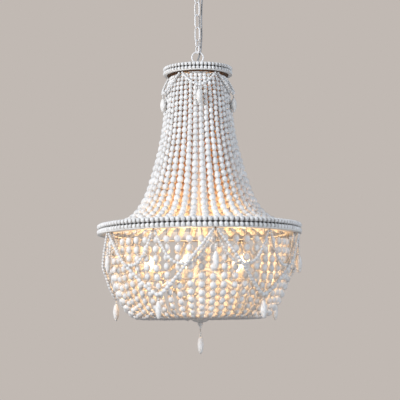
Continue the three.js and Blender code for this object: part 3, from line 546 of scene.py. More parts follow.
# %% Tube
def tube(path, radius, sides=8, closed=False):
    """Carries a circle along a path of points. A closed path joins its end to its start."""
    points = [Vector(point) for point in path]
    count = len(points)
    ways = []
    for i in range(count):
        ahead = points[(i + 1) % count] if closed else points[min(i + 1, count - 1)]
        behind = points[i - 1] if closed else points[max(i - 1, 0)]
        ways.append((ahead - behind).normalized())
    bm = bmesh.new()
    bmesh.ops.create_circle(bm, cap_ends=not closed, segments=sides, radius=radius)
    turned = ways[0].to_track_quat("Z", "Y")
    stand = Matrix.Translation(points[0]) @ turned.to_matrix().to_4x4()
    bmesh.ops.transform(bm, matrix=stand, verts=bm.verts)
    first = rim = list(bm.edges)
    for i in range(1, count):
        turned = ways[i - 1].rotation_difference(ways[i]) @ turned
        following = Matrix.Translation(points[i]) @ turned.to_matrix().to_4x4()
        made = bmesh.ops.extrude_edge_only(bm, edges=rim)["geom"]
        moved = [part for part in made if isinstance(part, bmesh.types.BMVert)]
        bmesh.ops.transform(bm, matrix=following @ stand.inverted(), verts=moved)
        rim = [part for part in made if isinstance(part, bmesh.types.BMEdge)
               and part.verts[0] in moved and part.verts[1] in moved]
        stand = following
    if closed:
        bmesh.ops.bridge_loops(bm, edges=first + rim)
    else:
        bmesh.ops.edgeloop_fill(bm, edges=rim)
    bmesh.ops.recalc_face_normals(bm, faces=bm.faces)
    return as_shape(bm, "tube")


def smooth_path(points, steps=6):
    """Points on a smooth curve through the given points."""
    ends = [2 * points[0] - points[1], *points, 2 * points[-1] - points[-2]]
    path = []
    for before, start, end, after in zip(ends, ends[1:], ends[2:], ends[3:]):
        knots = (start, start + (end - before) / 6, end - (after - start) / 6, end)
        path += interpolate_bezier(*knots, steps)[:-1]
    return path + [points[-1]]


def full_turn(count):
    """Angles in radians, evenly spread over one turn."""
    return [2 * math.pi * i / count for i in range(count)]


print("tube ready")

# %% [markdown]
# ### Beads on a string
# A string of beads is a path, a bead's length for each share of it, and a gap. An Array modifier on a
# curve would repeat one bead with one spacing, but real strings are graded and no two beads are the same.
# So the beads are set one after another, then spread evenly over what is left, each a little off, and each
# pair is joined by a short wire. The random numbers come from one fixed start, so every run is the same.

# %% Beads on a string
BEAD_UNEVEN = (0.97, 1.02)
chance = random.Random(31)


def along_path(path, distance):
    """The point and the direction at a distance along a path."""
    for start, end in zip(path, path[1:]):
        step = (end - start).length
        if distance <= step:
            break
        distance -= step
    way = (end - start).normalized()
    return start + way * min(distance, step), way


def path_length(path):
    """The length of a path from its first point to its last."""
    return sum((end - start).length for start, end in zip(path, path[1:]))


def strung(path, size_at, gap_at, wire_width, slack=0.0, width_at=None):
    """Beads and wires on a path. At a share of its length, size_at(share) is a bead's length and
    gap_at(share) the room after it. A bead is as wide as long, unless width_at(share) says otherwise.
    slack is how far a bead may hang off."""
    total = path_length(path)
    places, used = [], 0
    while True:
        size = size_at(min(used / total, 1))
        if used + size > total:
            break
        gap, width = gap_at(used / total), width_at(used / total) if width_at else size
        places.append((size, gap, width))
        used += size + gap
    spare = (total - used + gap) / max(len(places) - 1, 1)
    parts, distance, last = [], 0, None
    for size, gap, width in places:
        at, way = along_path(path, distance + size / 2)
        at = at + Vector([chance.uniform(-slack, slack) for _ in range(3)])
        grown = chance.uniform(*BEAD_UNEVEN)
        parts.append((bead, placed(at, way, width * grown, size * grown), 0))
        if last is not None:
            parts.append(wire_between(last, at, wire_width))
        last = at
        distance += size + gap + spare
    return parts


straight = [Vector((0, 0, 0)), Vector((0, 0, -0.3))]
print("one straight string:", len(strung(straight, lambda share: 0.02, lambda share: 0, 0.001)))

# %% [markdown]
# ## The two hoops
# Each hoop is an iron band with a flange turned inwards at its foot, and two rows of beads are strung
# round its face, one on the other. The band is one outline on the lathe, with its edges broken as filed
# iron has them. The beads of a row touch, and their holes run along the hoop. Each is placed by its angle,
# because a closed row must come out even.

# %% Sizes of the hoops
crown_low, crown_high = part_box("crown_hoop")
main_low, main_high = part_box("main_hoop")
CROWN_Z = (crown_low.z + crown_high.z) / 2 / MM
MAIN_Z = (main_low.z + main_high.z) / 2 / MM
CROWN_RADIUS = crown_high.y / MM
MAIN_RADIUS = main_high.y / MM
CROWN_BEAD = (crown_high.z - crown_low.z) / 2 / MM
MAIN_BEAD = (main_high.z - main_low.z) / 2 / MM
CROWN_FLANGE_WIDTH = 21
MAIN_FLANGE_WIDTH = 32
CROWN_ROW_COUNT = 54
MAIN_ROW_COUNT = 124
BAND_WALL = 3
FLANGE_THICKNESS = 2.5
ROW_WIRE = 1.8
ROW_UNEVEN = (0.97, 1.0)
ROW_BEAD_LENGTH = 0.95
# The lacing is a thick dark wire between the rows: partly lacing, partly painted shade in the gaps between
# beads.
SHADE_LACING_SHARE = 0.24
print("crown at", round(CROWN_Z, 1), "main hoop at", round(MAIN_Z, 1), "mm")


# %% Bands with flanges, and rows of beads
def hoop_band(radius, bead_size, flange_width, z, steps):
    """An iron band behind the beads with an inward flange at its foot. Its edges are softly rounded."""
    outer = radius - bead_size + 1
    inner = radius - bead_size - BAND_WALL
    top, foot = z + bead_size, z - bead_size
    tip = inner - flange_width
    return lathe([
        (outer - 1, top), (outer, top - 1), (outer, foot + FLANGE_THICKNESS), (radius - 1.5, foot + 1.6),
        (radius - 1.5, foot), (tip + 0.8, foot), (tip, foot + 0.8), (tip, foot + FLANGE_THICKNESS - 0.8),
        (tip + 0.8, foot + FLANGE_THICKNESS), (inner, foot + FLANGE_THICKNESS), (inner, top - 1),
        (inner + 1, top), (outer - 1, top),
    ], steps)


def wire_ring(radius, z, thickness):
    """A wire bent to a level ring, all in millimetres, in a piece's second material."""
    line = [around(angle, radius * MM, z * MM) for angle in range(0, 360, 6)]
    return at_home(tube(line, thickness / 2 * MM, 4, closed=True), 1)


def bead_rows(radius, bead_size, z, count):
    """Two rows of touching beads round a hoop, each on its wire, and a thick dark lacing between the rows,
    which is also painted shade in the gaps between the beads.
    """
    middle = radius - bead_size / 2
    length = 2 * math.pi * middle / count
    # The lacing ring: dark wire as painted shade where four beads meet.
    parts = [wire_ring(middle - ROW_WIRE, z, bead_size * SHADE_LACING_SHARE)]
    for row_z in (z + bead_size / 2, z - bead_size / 2):
        for i in range(count):
            angle = 360 * i / count
            at = around(angle, middle * MM, row_z * MM)
            grown = bead_size * chance.uniform(*ROW_UNEVEN) * MM
            turned = placed(at, around(angle + 90, 1, 0), grown, length * ROW_BEAD_LENGTH * MM)
            parts.append((hoop_bead, turned, 0))
        parts.append(wire_ring(middle, row_z, ROW_WIRE))
    return parts


band_shape = hoop_band(MAIN_RADIUS, MAIN_BEAD, MAIN_FLANGE_WIDTH, MAIN_Z, 96)
make_piece("main_band", [at_home(band_shape)], ["main_hoop"])
make_piece("main_bead_rows", bead_rows(MAIN_RADIUS, MAIN_BEAD, MAIN_Z, MAIN_ROW_COUNT), ["main_hoop"],
           [bead_wood, black_wire])
print("main band faces:", len(band_shape.polygons))

# %% [markdown]
# The crown also has five flat spokes that meet in a hub, to which the loop above and the stem below are
# screwed. A spoke is cut from bar, so it is a cube that is stretched, and its edges are bevelled. The
# underside of the crown's flange carries painted shade: a thin dark brown washer let into the flange. It
# could be a second material on some faces of the band, but a washer has a cleaner edge.

# %% Crown
CROWN_HUB_RADIUS = 17
SPOKE_WIDTH = 11
CROWN_FIRST_HOOK = 38
FOLD = 5
SECTOR = 360 / FOLD
# Bottom and top of the painted-shade washer under the crown's flange, in millimetres above its foot.
SHADE_WASHER_BELOW, SHADE_WASHER_INSIDE = -0.3, 0.2


def bar_shape(size, bevel):
    """A bar of the given size in millimetres, with rounded edges."""
    bm = bmesh.new()
    bmesh.ops.create_cube(bm, size=1)
    bmesh.ops.scale(bm, vec=[side * MM for side in size], verts=bm.verts)
    bmesh.ops.bevel(bm, geom=list(bm.edges), offset=bevel * MM, segments=2, profile=0.5,
                    affect="EDGES", material=-1)
    return as_shape(bm, "bar")


crown_under = CROWN_Z - CROWN_BEAD
hub_top = CROWN_Z + CROWN_BEAD / 4
flange_outer = CROWN_RADIUS - CROWN_BEAD
flange_inner = flange_outer - BAND_WALL - CROWN_FLANGE_WIDTH
spoke_length = flange_inner + 4
spoke = bar_shape((SPOKE_WIDTH, spoke_length, FLANGE_THICKNESS), 0.5)
crown_parts = [at_home(hoop_band(CROWN_RADIUS, CROWN_BEAD, CROWN_FLANGE_WIDTH, CROWN_Z, 64))]
for i in range(FOLD):
    angle = CROWN_FIRST_HOOK + SECTOR * i
    middle = around(angle, spoke_length / 2 * MM, (crown_under + FLANGE_THICKNESS / 2) * MM)
    crown_parts.append((spoke, standing(middle, angle), 0))
# The thin brown washer under the flange is painted shade.
crown_parts.append(at_home(lathe([
    (flange_inner + 1, SHADE_WASHER_BELOW), (flange_outer, SHADE_WASHER_BELOW), (flange_outer, SHADE_WASHER_INSIDE),
    (flange_inner + 1, SHADE_WASHER_INSIDE), (flange_inner + 1, SHADE_WASHER_BELOW),
], 64, crown_under), 1))
crown_parts.append(at_home(lathe([
    (0, hub_top), (CROWN_HUB_RADIUS - 2, hub_top), (CROWN_HUB_RADIUS, hub_top - 2),
    (CROWN_HUB_RADIUS, crown_under + 1), (CROWN_HUB_RADIUS - 1, crown_under), (0, crown_under),
])))
make_piece("crown_band", crown_parts, ["crown_hoop"], [white_iron, underside_shade_brown])
make_piece("crown_bead_rows", bead_rows(CROWN_RADIUS, CROWN_BEAD, CROWN_Z, CROWN_ROW_COUNT), ["crown_hoop"],
           [bead_wood, black_wire])
print("crown parts:", len(crown_parts))

# %% [markdown]
# ## The strands
# Forty strands flare from the crown to the main hoop. Near the crown they hang so close that a bead is as
# wide as the room between two strands, and further down all are 20 mm. There the beads are also a little
# longer than wide. Each strand follows one outline, given as shares of its drop and its reach, and its
# last wire goes down to the flange. The strands could hang by a cloth simulation, but they are pulled
# tight between two hoops, so one smooth line fits them all. Only the beads' lengths differ: each strand has
# a stretch of its own, so that the beads of neighbours don't line up in rings.

# %% Sizes of the upper strands
UPPER_PER_SECTOR = 8
UPPER_TOP_RADIUS = 80
UPPER_END_RADIUS = 266.5
UPPER_ANCHOR_RADIUS = 276
UPPER_BEAD = 20.5
UPPER_FILL = 0.97
UPPER_STRETCH = [(0.0, 0.96), (0.1, 1.12), (1.0, 1.12)]
UPPER_UNEVEN = (0.95, 1.03)
UPPER_START_Z = crown_under - 7
UPPER_END_Z = MAIN_Z + 1.55
FLARE_SHARES = [  # (share of the drop, share of the reach)
    (0.0, 0.0), (0.08, 0.05), (0.39, 0.14), (0.642, 0.285), (0.816, 0.435), (0.927, 0.64), (1.0, 1.0),
]
STRAND_WIRE = 1.4
STRAND_SLACK = 0.5
print("the flare drops", round(UPPER_START_Z - UPPER_END_Z), "mm")


# %% Upper strands
def by_table(table, share):
    """A value read from (share, value) pairs, straight between them."""
    for (low, first), (high, last) in zip(table, table[1:]):
        if share <= high:
            return between(first, last, (share - low) / (high - low))
    return table[-1][1]


def strand_angles(sector, per_sector):
    """The angles of the strands of one sector."""
    return [SECTOR * (sector - 0.5 + (i + 0.5) / per_sector) for i in range(per_sector)]


def upper_path(angle):
    """The line of an upper strand from the crown down to the hoop."""
    return smooth_path([around(angle, between(UPPER_TOP_RADIUS, UPPER_END_RADIUS, reach) * MM,
                               between(UPPER_START_Z, UPPER_END_Z, drop) * MM)
                        for drop, reach in FLARE_SHARES])


upper_line = upper_path(0)
upper_total = path_length(upper_line)


def upper_bead_width(share):
    """Nearly as wide as the room between two strands, up to the largest bead."""
    at, _ = along_path(upper_line, share * upper_total)
    room = 2 * math.pi * math.hypot(at.x, at.y) / (FOLD * UPPER_PER_SECTOR)
    return min(room * UPPER_FILL, UPPER_BEAD * MM)


def upper_bead_length(share):
    """Round at the crown, soon a little longer than wide, and round again where the beads are largest."""
    return min(upper_bead_width(share) * by_table(UPPER_STRETCH, share), UPPER_BEAD * MM)


def strand_ends(top, line, foot):
    """The wires that tie a strand's first and last beads to what holds them."""
    return [wire_between(top, line[0], STRAND_WIRE * MM), wire_between(line[-1], foot, STRAND_WIRE * MM)]


for sector in range(FOLD):
    parts = []
    for angle in strand_angles(sector, UPPER_PER_SECTOR):
        line = upper_path(angle)
        own = chance.uniform(*UPPER_UNEVEN)
        parts += strung(line, lambda share: upper_bead_length(share) * own, lambda share: 0,
                        STRAND_WIRE * MM, STRAND_SLACK * MM, upper_bead_width)
        parts += strand_ends(around(angle, UPPER_TOP_RADIUS * MM, crown_under * MM), line,
                             around(angle, UPPER_ANCHOR_RADIUS * MM, (MAIN_Z - MAIN_BEAD + 1) * MM))
    make_piece(f"upper_beads_{sector + 1}", parts, [f"upper_strands_{sector + 1}"],
               [strand_wood, dull_wire])
print("beads in an upper strand:", sum(part[2] == 0 for part in parts) // UPPER_PER_SECTOR)

# %% [markdown]
# Fifty strands close the bowl. Their beads hang apart on short wires with a tiny spacer bead between, and
# no two strands are spaced alike. Where the strands turn in to the floor of the bowl the beads touch, and
# they grow smaller towards the dish, where all strands meet.

# %% Sizes of the lower strands
LOWER_PER_SECTOR = 10
LOWER_TURN = -2.4
LOWER_TOP_RADIUS = 264.5
LOWER_START_Z = MAIN_Z - MAIN_BEAD - 19.5
BOWL_DEPTH = 226
BOWL_SAG = 8
BOWL_SHARES = [  # (share of the depth, share of the radius)
    (0.0, 1.0), (0.44, 0.976), (0.75, 0.895), (0.95, 0.77), (1.0, 0.64), (1.0, 0.3), (0.977, 0.175),
]
LOWER_SIZES = [(0.0, 21.0), (0.3, 19.6), (0.45, 17.6), (0.55, 16.0), (0.64, 13.4), (0.8, 9.6), (1.0, 5.6)]
LOWER_GAPS = [(0.0, 1.0), (0.5, 1.0), (0.62, 0.1), (1.0, 0.0)]
WIDEST_GAP = (4.0, 6.2)
SPACER = 4.5
LOWER_WIRE = 1.3
LOWER_END_RADIUS = 28
LOWER_END_Z = LOWER_START_Z - BOWL_DEPTH + BOWL_SAG
print("the bowl ends at", round(LOWER_END_Z), "mm")


# %% Lower strands
def lower_path(angle):
    """The line of a lower strand from the hoop to the dish."""
    return smooth_path([around(angle, LOWER_TOP_RADIUS * radius * MM,
                               (LOWER_START_Z - BOWL_DEPTH * depth) * MM)
                        for depth, radius in BOWL_SHARES])


for sector in range(FOLD):
    parts = []
    for angle in strand_angles(sector, LOWER_PER_SECTOR):
        angle += LOWER_TURN
        line = lower_path(angle)
        widest = chance.uniform(*WIDEST_GAP) * MM
        string = strung(line, lambda share: by_table(LOWER_SIZES, share) * MM,
                        lambda share: by_table(LOWER_GAPS, share) * widest,
                        LOWER_WIRE * MM, STRAND_SLACK * MM)
        knots = [place.translation for shape, place, number in string if number == 1]
        parts += string + [(bead, placed(knot, width=SPACER * MM, length=SPACER * MM), 0) for knot in knots]
        parts += strand_ends(around(angle, LOWER_TOP_RADIUS * MM, (MAIN_Z - MAIN_BEAD) * MM), line,
                             around(angle, LOWER_END_RADIUS * MM, LOWER_END_Z * MM))
    make_piece(f"lower_beads_{sector + 1}", parts, [f"lower_strands_{sector + 1}"],
               [bead_wood, dull_wire])
print("beads and spacers in a lower strand:", sum(part[2] == 0 for part in parts) // LOWER_PER_SECTOR)

# %% [markdown]
# ## Garlands
# The garlands hang from hook to hook like chains. A chain that carries nothing hangs full, close to a
# parabola, and one with a drop at its middle is pulled towards a V. A rope simulation would give both, but
# one can't then say where the middle hangs. So a swag is written as a share of its depth that depends on
# the place between the hooks, and one power says how full it is. Its beads grow towards the middle. The
# long swags hang outside the short ones and lean in below them.

# %% Sizes of the garlands
HOOK_RUN = 8
HOOK_RISE = 1.5
HOOK_LEVEL = 1.8
GARLAND_HOOK_START = 8.8
GARLAND_WIRE = 1.0
GARLAND_HANGER = 1.2
GARLAND_GAP = 0.2
GARLAND_SLACK = 0.2
EVEN_LEAN = [(0.0, 0.0), (1.0, 1.0)]
SHORT_DROP = 97
LONG_DROP = 182
PASSED_SHARE = SHORT_DROP / LONG_DROP
PASSED_LEAN = [(0.0, 0.16), (0.25, 0.46), (0.58, 0.68), (1.0, 1.0)]
LONG_LEAN = [(0.0, 0.0)] + [(between(PASSED_SHARE, 1, rest), lean) for rest, lean in PASSED_LEAN]
GARLANDS = {
    "crown_garland": dict(first=CROWN_FIRST_HOOK, span=SECTOR, hook_radius=90, low_radius=110.3,
                          hook_z=crown_under - HOOK_LEVEL, drops=[60, 60, 60, 60, 45], fullness=1.35,
                          lean=EVEN_LEAN, sizes=[(0.0, 6.5), (1.0, 10.0)]),
    "short_garland": dict(first=GARLAND_HOOK_START, span=SECTOR / 2, hook_radius=281.5, low_radius=276,
                          hook_z=MAIN_Z - MAIN_BEAD - HOOK_LEVEL, drops=[SHORT_DROP], fullness=2.5,
                          lean=EVEN_LEAN, sizes=[(0.0, 7.8), (1.0, 12.0)]),
    "long_garland": dict(first=GARLAND_HOOK_START, span=SECTOR, hook_radius=294.8, low_radius=254.8,
                         hook_z=MAIN_Z - MAIN_BEAD - HOOK_LEVEL, drops=[LONG_DROP], fullness=1.35,
                         lean=LONG_LEAN, sizes=[(0.0, 8.4), (0.3, 10.4), (0.7, 12.4), (1.0, 14.4)]),
}
print("garlands:", ", ".join(GARLANDS))


# %% Swags
def swag_line(swag, number, steps=48):
    """The line of one swag between two hooks, in metres."""
    reach = swag["span"] - math.degrees(HOOK_RUN / swag["hook_radius"])
    drop = swag["drops"][number % len(swag["drops"])]
    line = []
    for i in range(steps + 1):
        side = 2 * i / steps - 1
        depth = 1 - abs(side) ** swag["fullness"]
        radius = between(swag["hook_radius"], swag["low_radius"], by_table(swag["lean"], depth))
        angle = swag["first"] + swag["span"] * (number + 0.5) + side * reach / 2
        line.append(around(angle, radius * MM, (swag["hook_z"] - HOOK_RISE - drop * depth) * MM))
    return line


def hook_angles(swag):
    """The angles of a garland's hooks."""
    return [swag["first"] + swag["span"] * number for number in range(round(360 / swag["span"]))]


def garland_parts(swag):
    """All the swags of a garland, with beads that are smallest at the hooks."""
    parts = []
    for number, angle in enumerate(hook_angles(swag)):
        line = swag_line(swag, number)
        parts += strung(line, lambda share: by_table(swag["sizes"], 1 - abs(2 * share - 1)) * MM,
                        lambda share: GARLAND_GAP * MM, GARLAND_WIRE * MM, GARLAND_SLACK * MM)
        nail = around(angle, swag["hook_radius"] * MM, swag["hook_z"] * MM)
        for neighbour in (line[0], swag_line(swag, number - 1)[-1]):
            parts.append(wire_between(nail, neighbour, GARLAND_HANGER * MM))
    return parts


for name, swag in GARLANDS.items():
    made = make_piece(name + "_beads", garland_parts(swag), [name], [bead_wood, dull_wire])
    print(name, "faces:", len(made.data.polygons))

# %% [markdown]
# ### S-hooks
# Small hooks of dark wire hold the garlands under the hoops. Each is an S: the upper bow goes over the
# edge of the flange and the lower bow takes the string. One hook is bent as a tube along two bows, and its
# copies stand round both hoops.

# %% S-hooks
HOOK_HEIGHT = 9
HOOK_WIRE = 1.4
HOOK_MIDDLE = 2.2
BOW_ANGLES = (0.2, 1, 1.8, 2.6, 3.4, 4.2)


def s_hook(height, wire_width):
    """An S of wire in the XZ plane, with its middle at the origin, in millimetres."""
    bow = height / 4
    upper = [Vector((bow * math.cos(t), 0, bow + bow * math.sin(t))) for t in BOW_ANGLES]
    lower = [Vector((-point.x, 0, -point.z)) for point in reversed(upper)]
    return tube([point * MM for point in smooth_path(upper + lower, 3)], wire_width / 2 * MM, 5)


hook_shape = s_hook(HOOK_HEIGHT, HOOK_WIRE)
hook_parts = []
for swag in GARLANDS.values():
    for angle in hook_angles(swag):
        spot = around(angle, swag["hook_radius"] * MM, (swag["hook_z"] - HOOK_MIDDLE) * MM)
        hook_parts.append((hook_shape, standing(spot, angle + 90), 0))
make_piece("swag_hooks", hook_parts, materials=[black_wire])
print("hooks:", len(hook_parts))

# %% [markdown]
# ## Spindle drops
# A drop is a turned bead with two slender ends, on a wire with small beads above it and an eye at the top
# that swings on the string. It is one outline on the lathe. Each drop is a piece of its own because it
# swings on its own joint.

# %% Drops
SPINDLE_RADIUS = 9
SPINDLE_OUTLINE = [  # (share of the radius, share of the length)
    (0.3, 0.0), (0.62, 0.1), (0.88, 0.25), (1.0, 0.45), (0.93, 0.64), (0.7, 0.82), (0.36, 0.95), (0.0, 1.0),
]
EYE_RADIUS = 1.5
EYE_MIDDLE = 1.9
EYE_WIRE = 0.9
ROD_START = 3
ROD_WIRE = 1.2
SMALL_BEADS = [(4.4, 6.0, 5.4), (10.8, 6.4, 6.0), (17.2, 6.4, 6.0)]  # (rise above the spindle, width, length)
DROPS = {  # (length of the hanger, length of the spindle, small beads)
    "crown_drop": (8, 43, 1), "swag_drop": (9, 52, 1), "hook_drop": (62, 52, 3), "bottom_drop": (23, 52, 2),
}


def drop_parts(top, hanger, length, small_beads):
    """A spindle bead under its wire. top is the place of the upper eye."""
    outline = [(0, 0)] + [(SPINDLE_RADIUS * radius, -length * z) for radius, z in SPINDLE_OUTLINE]
    ring = [(EYE_RADIUS * MM * math.sin(t), 0, (EYE_RADIUS * math.cos(t) - EYE_MIDDLE) * MM)
            for t in full_turn(10)]
    home = Matrix.Translation(top)
    parts = [(lathe(outline, 16, -hanger), home, 0), (tube(ring, EYE_WIRE / 2 * MM, 4, closed=True), home, 1)]
    low, high = Vector((0, 0, -hanger * MM)), Vector((0, 0, -ROD_START * MM))
    rod, place, number = wire_between(low, high, ROD_WIRE * MM)
    parts.append((rod, home @ place, number))
    for rise, width, long in SMALL_BEADS[:small_beads]:
        spot = placed(Vector((0, 0, (rise - hanger) * MM)), width=width * MM, length=long * MM)
        parts.append((bead, home @ spot, 0))
    return parts


def hang_drop(name, hanger, length, small_beads):
    """Makes the drop of a node, hung where the node's top is."""
    low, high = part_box(name)
    middle = (low + high) / 2
    top = Vector((middle.x, middle.y, high.z))
    return make_piece(name + "_bead", drop_parts(top, hanger, length, small_beads), [name],
                      [spindle_wood, dull_wire], name)


for number in range(1, FOLD + 1):
    for kind in ("crown_drop", "swag_drop", "hook_drop"):
        hang_drop(f"{kind}_{number}", *DROPS[kind])
lowest = hang_drop("bottom_drop", *DROPS["bottom_drop"])
print("faces of a drop:", len(lowest.data.polygons))

# %% [markdown]
# ## Chain, loops and ceiling fitting
# A link is a rod bent to an oval and welded, so its path is two half circles with straight sides, and a
# small swelling marks the weld. A stretched torus would be quicker, but its rod would be thin at the sides
# and thick at the ends. The rings are closed tubes too, and their collars are turned.

# %% Chain
LINK_ROD = 4
CHAIN_LINK_WIDTH = 22
SMALL_LINK_WIDTH = 17
WELD_WIDTH, WELD_LENGTH = 5, 5.5
BOW_STEPS = 8
LINK_TURNS = {"chain_link_1": 45, "chain_link_2": -45, "chain_link_3": 45, "chain_link_4": -45,
              "small_link_1": 45, "small_link_2": -50}


def link_parts(name, width, turn):
    """One oval link between the lowest and the highest point of its node."""
    low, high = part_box(name)
    bow = (width - LINK_ROD) / 2 * MM
    straight = (high.z - low.z) - width * MM
    middle = (high.z + low.z) / 2
    path = []
    for half, rise in ((0, straight / 2), (math.pi, -straight / 2)):
        for i in range(BOW_STEPS + 1):
            swing = half + math.pi * i / BOW_STEPS
            path.append(Vector((bow * math.cos(swing), 0, middle + rise + bow * math.sin(swing))))
    turned = Matrix.Rotation(math.radians(turn), 4, "Z")
    weld = placed(Vector((-bow, 0, middle)), width=WELD_WIDTH * MM, length=WELD_LENGTH * MM)
    return [(tube(path, LINK_ROD / 2 * MM, 8, closed=True), turned, 0), (bead, turned @ weld, 0)]


for name, turn in LINK_TURNS.items():
    width = CHAIN_LINK_WIDTH if name.startswith("chain") else SMALL_LINK_WIDTH
    make_piece(name + "_rod", link_parts(name, width, turn), [name], [chain_iron], body="chain")
print("links:", len(LINK_TURNS))

# %% Rings with collars
RING_ROD = 4.5
TOP_RING_RADIUS = 17.25
CANOPY_RING_RADIUS = 11


def ring_shape(radius, z, turn):
    """An upright ring of rod, in millimetres."""
    turned = Matrix.Rotation(math.radians(turn), 4, "Z")
    path = [turned @ Vector((radius * math.sin(t), 0, z + radius * math.cos(t))) for t in full_turn(28)]
    return tube([point * MM for point in path], RING_ROD / 2 * MM, 8, closed=True)


foot, loop_top = box_heights("top_loop")
ring_z = loop_top - RING_ROD / 2 - TOP_RING_RADIUS
make_piece("top_loop_ring", [at_home(ring_shape(TOP_RING_RADIUS, ring_z, 0)), at_home(lathe([
    (0, ring_z - 16), (7, ring_z - 16), (9, ring_z - 18), (9, foot + 9), (7.4, foot + 7.5), (9, foot + 6),
    (12.6, foot + 4), (14, foot + 2), (14, foot + 0.8), (13.2, foot), (0, foot),
]))], ["top_loop"], [chain_iron])
collar = box_heights("canopy_loop")[1]
make_piece("canopy_ring", [at_home(ring_shape(CANOPY_RING_RADIUS, collar - 21, -45)), at_home(lathe([
    (0, 0), (7.4, 0), (8, -0.6), (8, -4), (6.6, -5), (7, -6), (4.6, -9), (0, -10),
], base=collar))], ["canopy_loop"], [chain_iron], body="ceiling_fitting")
print("ring middle:", round(ring_z, 1), "mm")

# %% [markdown]
# ### Canopy, grip and bracket
# The canopy is spun from sheet: a shallow bell with a thin wall, so its outline goes down the outside and
# back up the inside. Behind it a flat bracket is screwed to the ceiling and holds a threaded brass tube.
# The thread is a row of ridges, because nobody sees that it should climb. The cord's grip is a ribbed
# plug of the same PVC.

# %% Canopy, grip and bracket
CANOPY_STEPS = 10
CANOPY_MIDDLE = 25
THREAD_TURNS = 12
SCREW_PLACES = (-36, 36)


def bell_line(reach, depth):
    """A quarter of an oval from the canopy's flat middle to its rim, in millimetres."""
    leans = [math.pi / 2 * i / CANOPY_STEPS for i in range(CANOPY_STEPS + 1)]
    return [(CANOPY_MIDDLE + reach * math.sin(lean), -depth * math.cos(lean)) for lean in leans]


outside, inside = bell_line(40, 28), bell_line(38.2, 26.2)
canopy_outline = [(5.6, -28), (23, -28), (24, -27.4), *outside[1:],
                  *reversed(inside), (5.6, -26.2), (5.6, -28)]
make_piece("canopy_bell", [at_home(lathe(canopy_outline, 64))], ["canopy"], body="ceiling_fitting")
grip = lathe([(0, 0), (5, 0), (5, -1.4), (4.3, -1.8), (4.6, -2.6), (4.1, -3), (4.3, -3.8), (3.9, -4.2),
              (4, -5), (0, -5)], 24, box_heights("cord_bushing")[1])
make_piece("cord_grip", [(grip, Matrix.Translation((CORD_SIDE, 0, 0)), 0)], ["cord_bushing"], [smoky_pvc],
           "ceiling_fitting")
thread = [point for k in range(THREAD_TURNS) for point in ((5, -3.2 - 2 * k), (4.4, -4.2 - 2 * k))]
threaded_tube = lathe([(0, -1), *thread, (4.6, -28), (0, -28)], 20)
screw = lathe([(0, -6), (2.2, -5.6), (3.8, -4.2), (4, -3), (0, -3)], 16)
strap = (bar_shape((96, 20, 3), 0.7), Matrix.Translation((0, 0, -1.5 * MM)), 0)
screws = [(screw, Matrix.Translation((x * MM, 0, 0)), 1) for x in SCREW_PLACES]
make_piece("bracket_strap", [strap, at_home(threaded_tube, 1), *screws], ["ceiling_bracket"],
           [white_iron, thin_brass], body="ceiling_fitting")
print("canopy rim at", round(outside[-1][0]), "mm")

# %% [markdown]
# ## Stem and arms
# The stem hangs from the crown's hub, carries the hub of the lamp arms and ends in the dish. The arms are
# bent tube: each runs outwards, dips and turns up into the cup of a candle. A smooth line through a few
# points is how a bender makes it too, and one arm is turned to five places.

# %% Stem and arms
HUB_MIDDLE = MAIN_Z - 118
ARM_REACH = 150
ARM_DIP = 54
ARM_TUBE = 8
SLEEVE_TOP = MAIN_Z - 122
CUP_BOTTOM = SLEEVE_TOP - 34
LAMP_START = -85
ARM_SHARES = [  # (share of the reach, share of the dip)
    (0.06, 0.0), (0.3, 0.12), (0.55, 0.6), (0.8, 1.0), (0.95, 0.97), (1.0, 0.82),
]
HUB_HALF = [(0, 13), (9, 13), (11, 12), (11.5, 9), (15, 6.5), (18, 3)]
for name in ("upper_stem", "lower_stem"):
    low, high = box_heights(name)
    stem = lathe([(0, low), (4.5, low), (5, low + 0.5), (5, high - 0.5), (4.5, high), (0, high)], 16)
    make_piece(name + "_tube", [at_home(stem)], [name])
arm_points = [Vector((0, -ARM_REACH * reach, HUB_MIDDLE - ARM_DIP * dip)) for reach, dip in ARM_SHARES]
arm_line = smooth_path([*arm_points, Vector((0, -ARM_REACH, CUP_BOTTOM - 0.3))], 4)
arm = tube([point * MM for point in arm_line], ARM_TUBE / 2 * MM, 10)
hub = lathe([*HUB_HALF, (19, 0), *[(radius, -z) for radius, z in reversed(HUB_HALF)]], base=HUB_MIDDLE)
lamp_angles = [LAMP_START + SECTOR * i for i in range(FOLD)]
make_piece("lamp_arm_tubes", [at_home(hub)] + [(arm, standing((0, 0, 0), angle), 0) for angle in lamp_angles],
           ["lamp_arms"])
print("arms:", len(lamp_angles))

# %% [markdown]
# ### Candles
# A candle is an ivory sleeve with a thin wall in an iron cup, with a lampholder inside that doesn't show.
# The bulb's glass is blown to a flame's shape, its cap is threaded brass, and its filament stands on the
# axis. Each bulb is a piece of its own, because it turns out of its sleeve. The lamp that does the
# lighting is larger than the filament, so that the beads' shadows have soft edges.

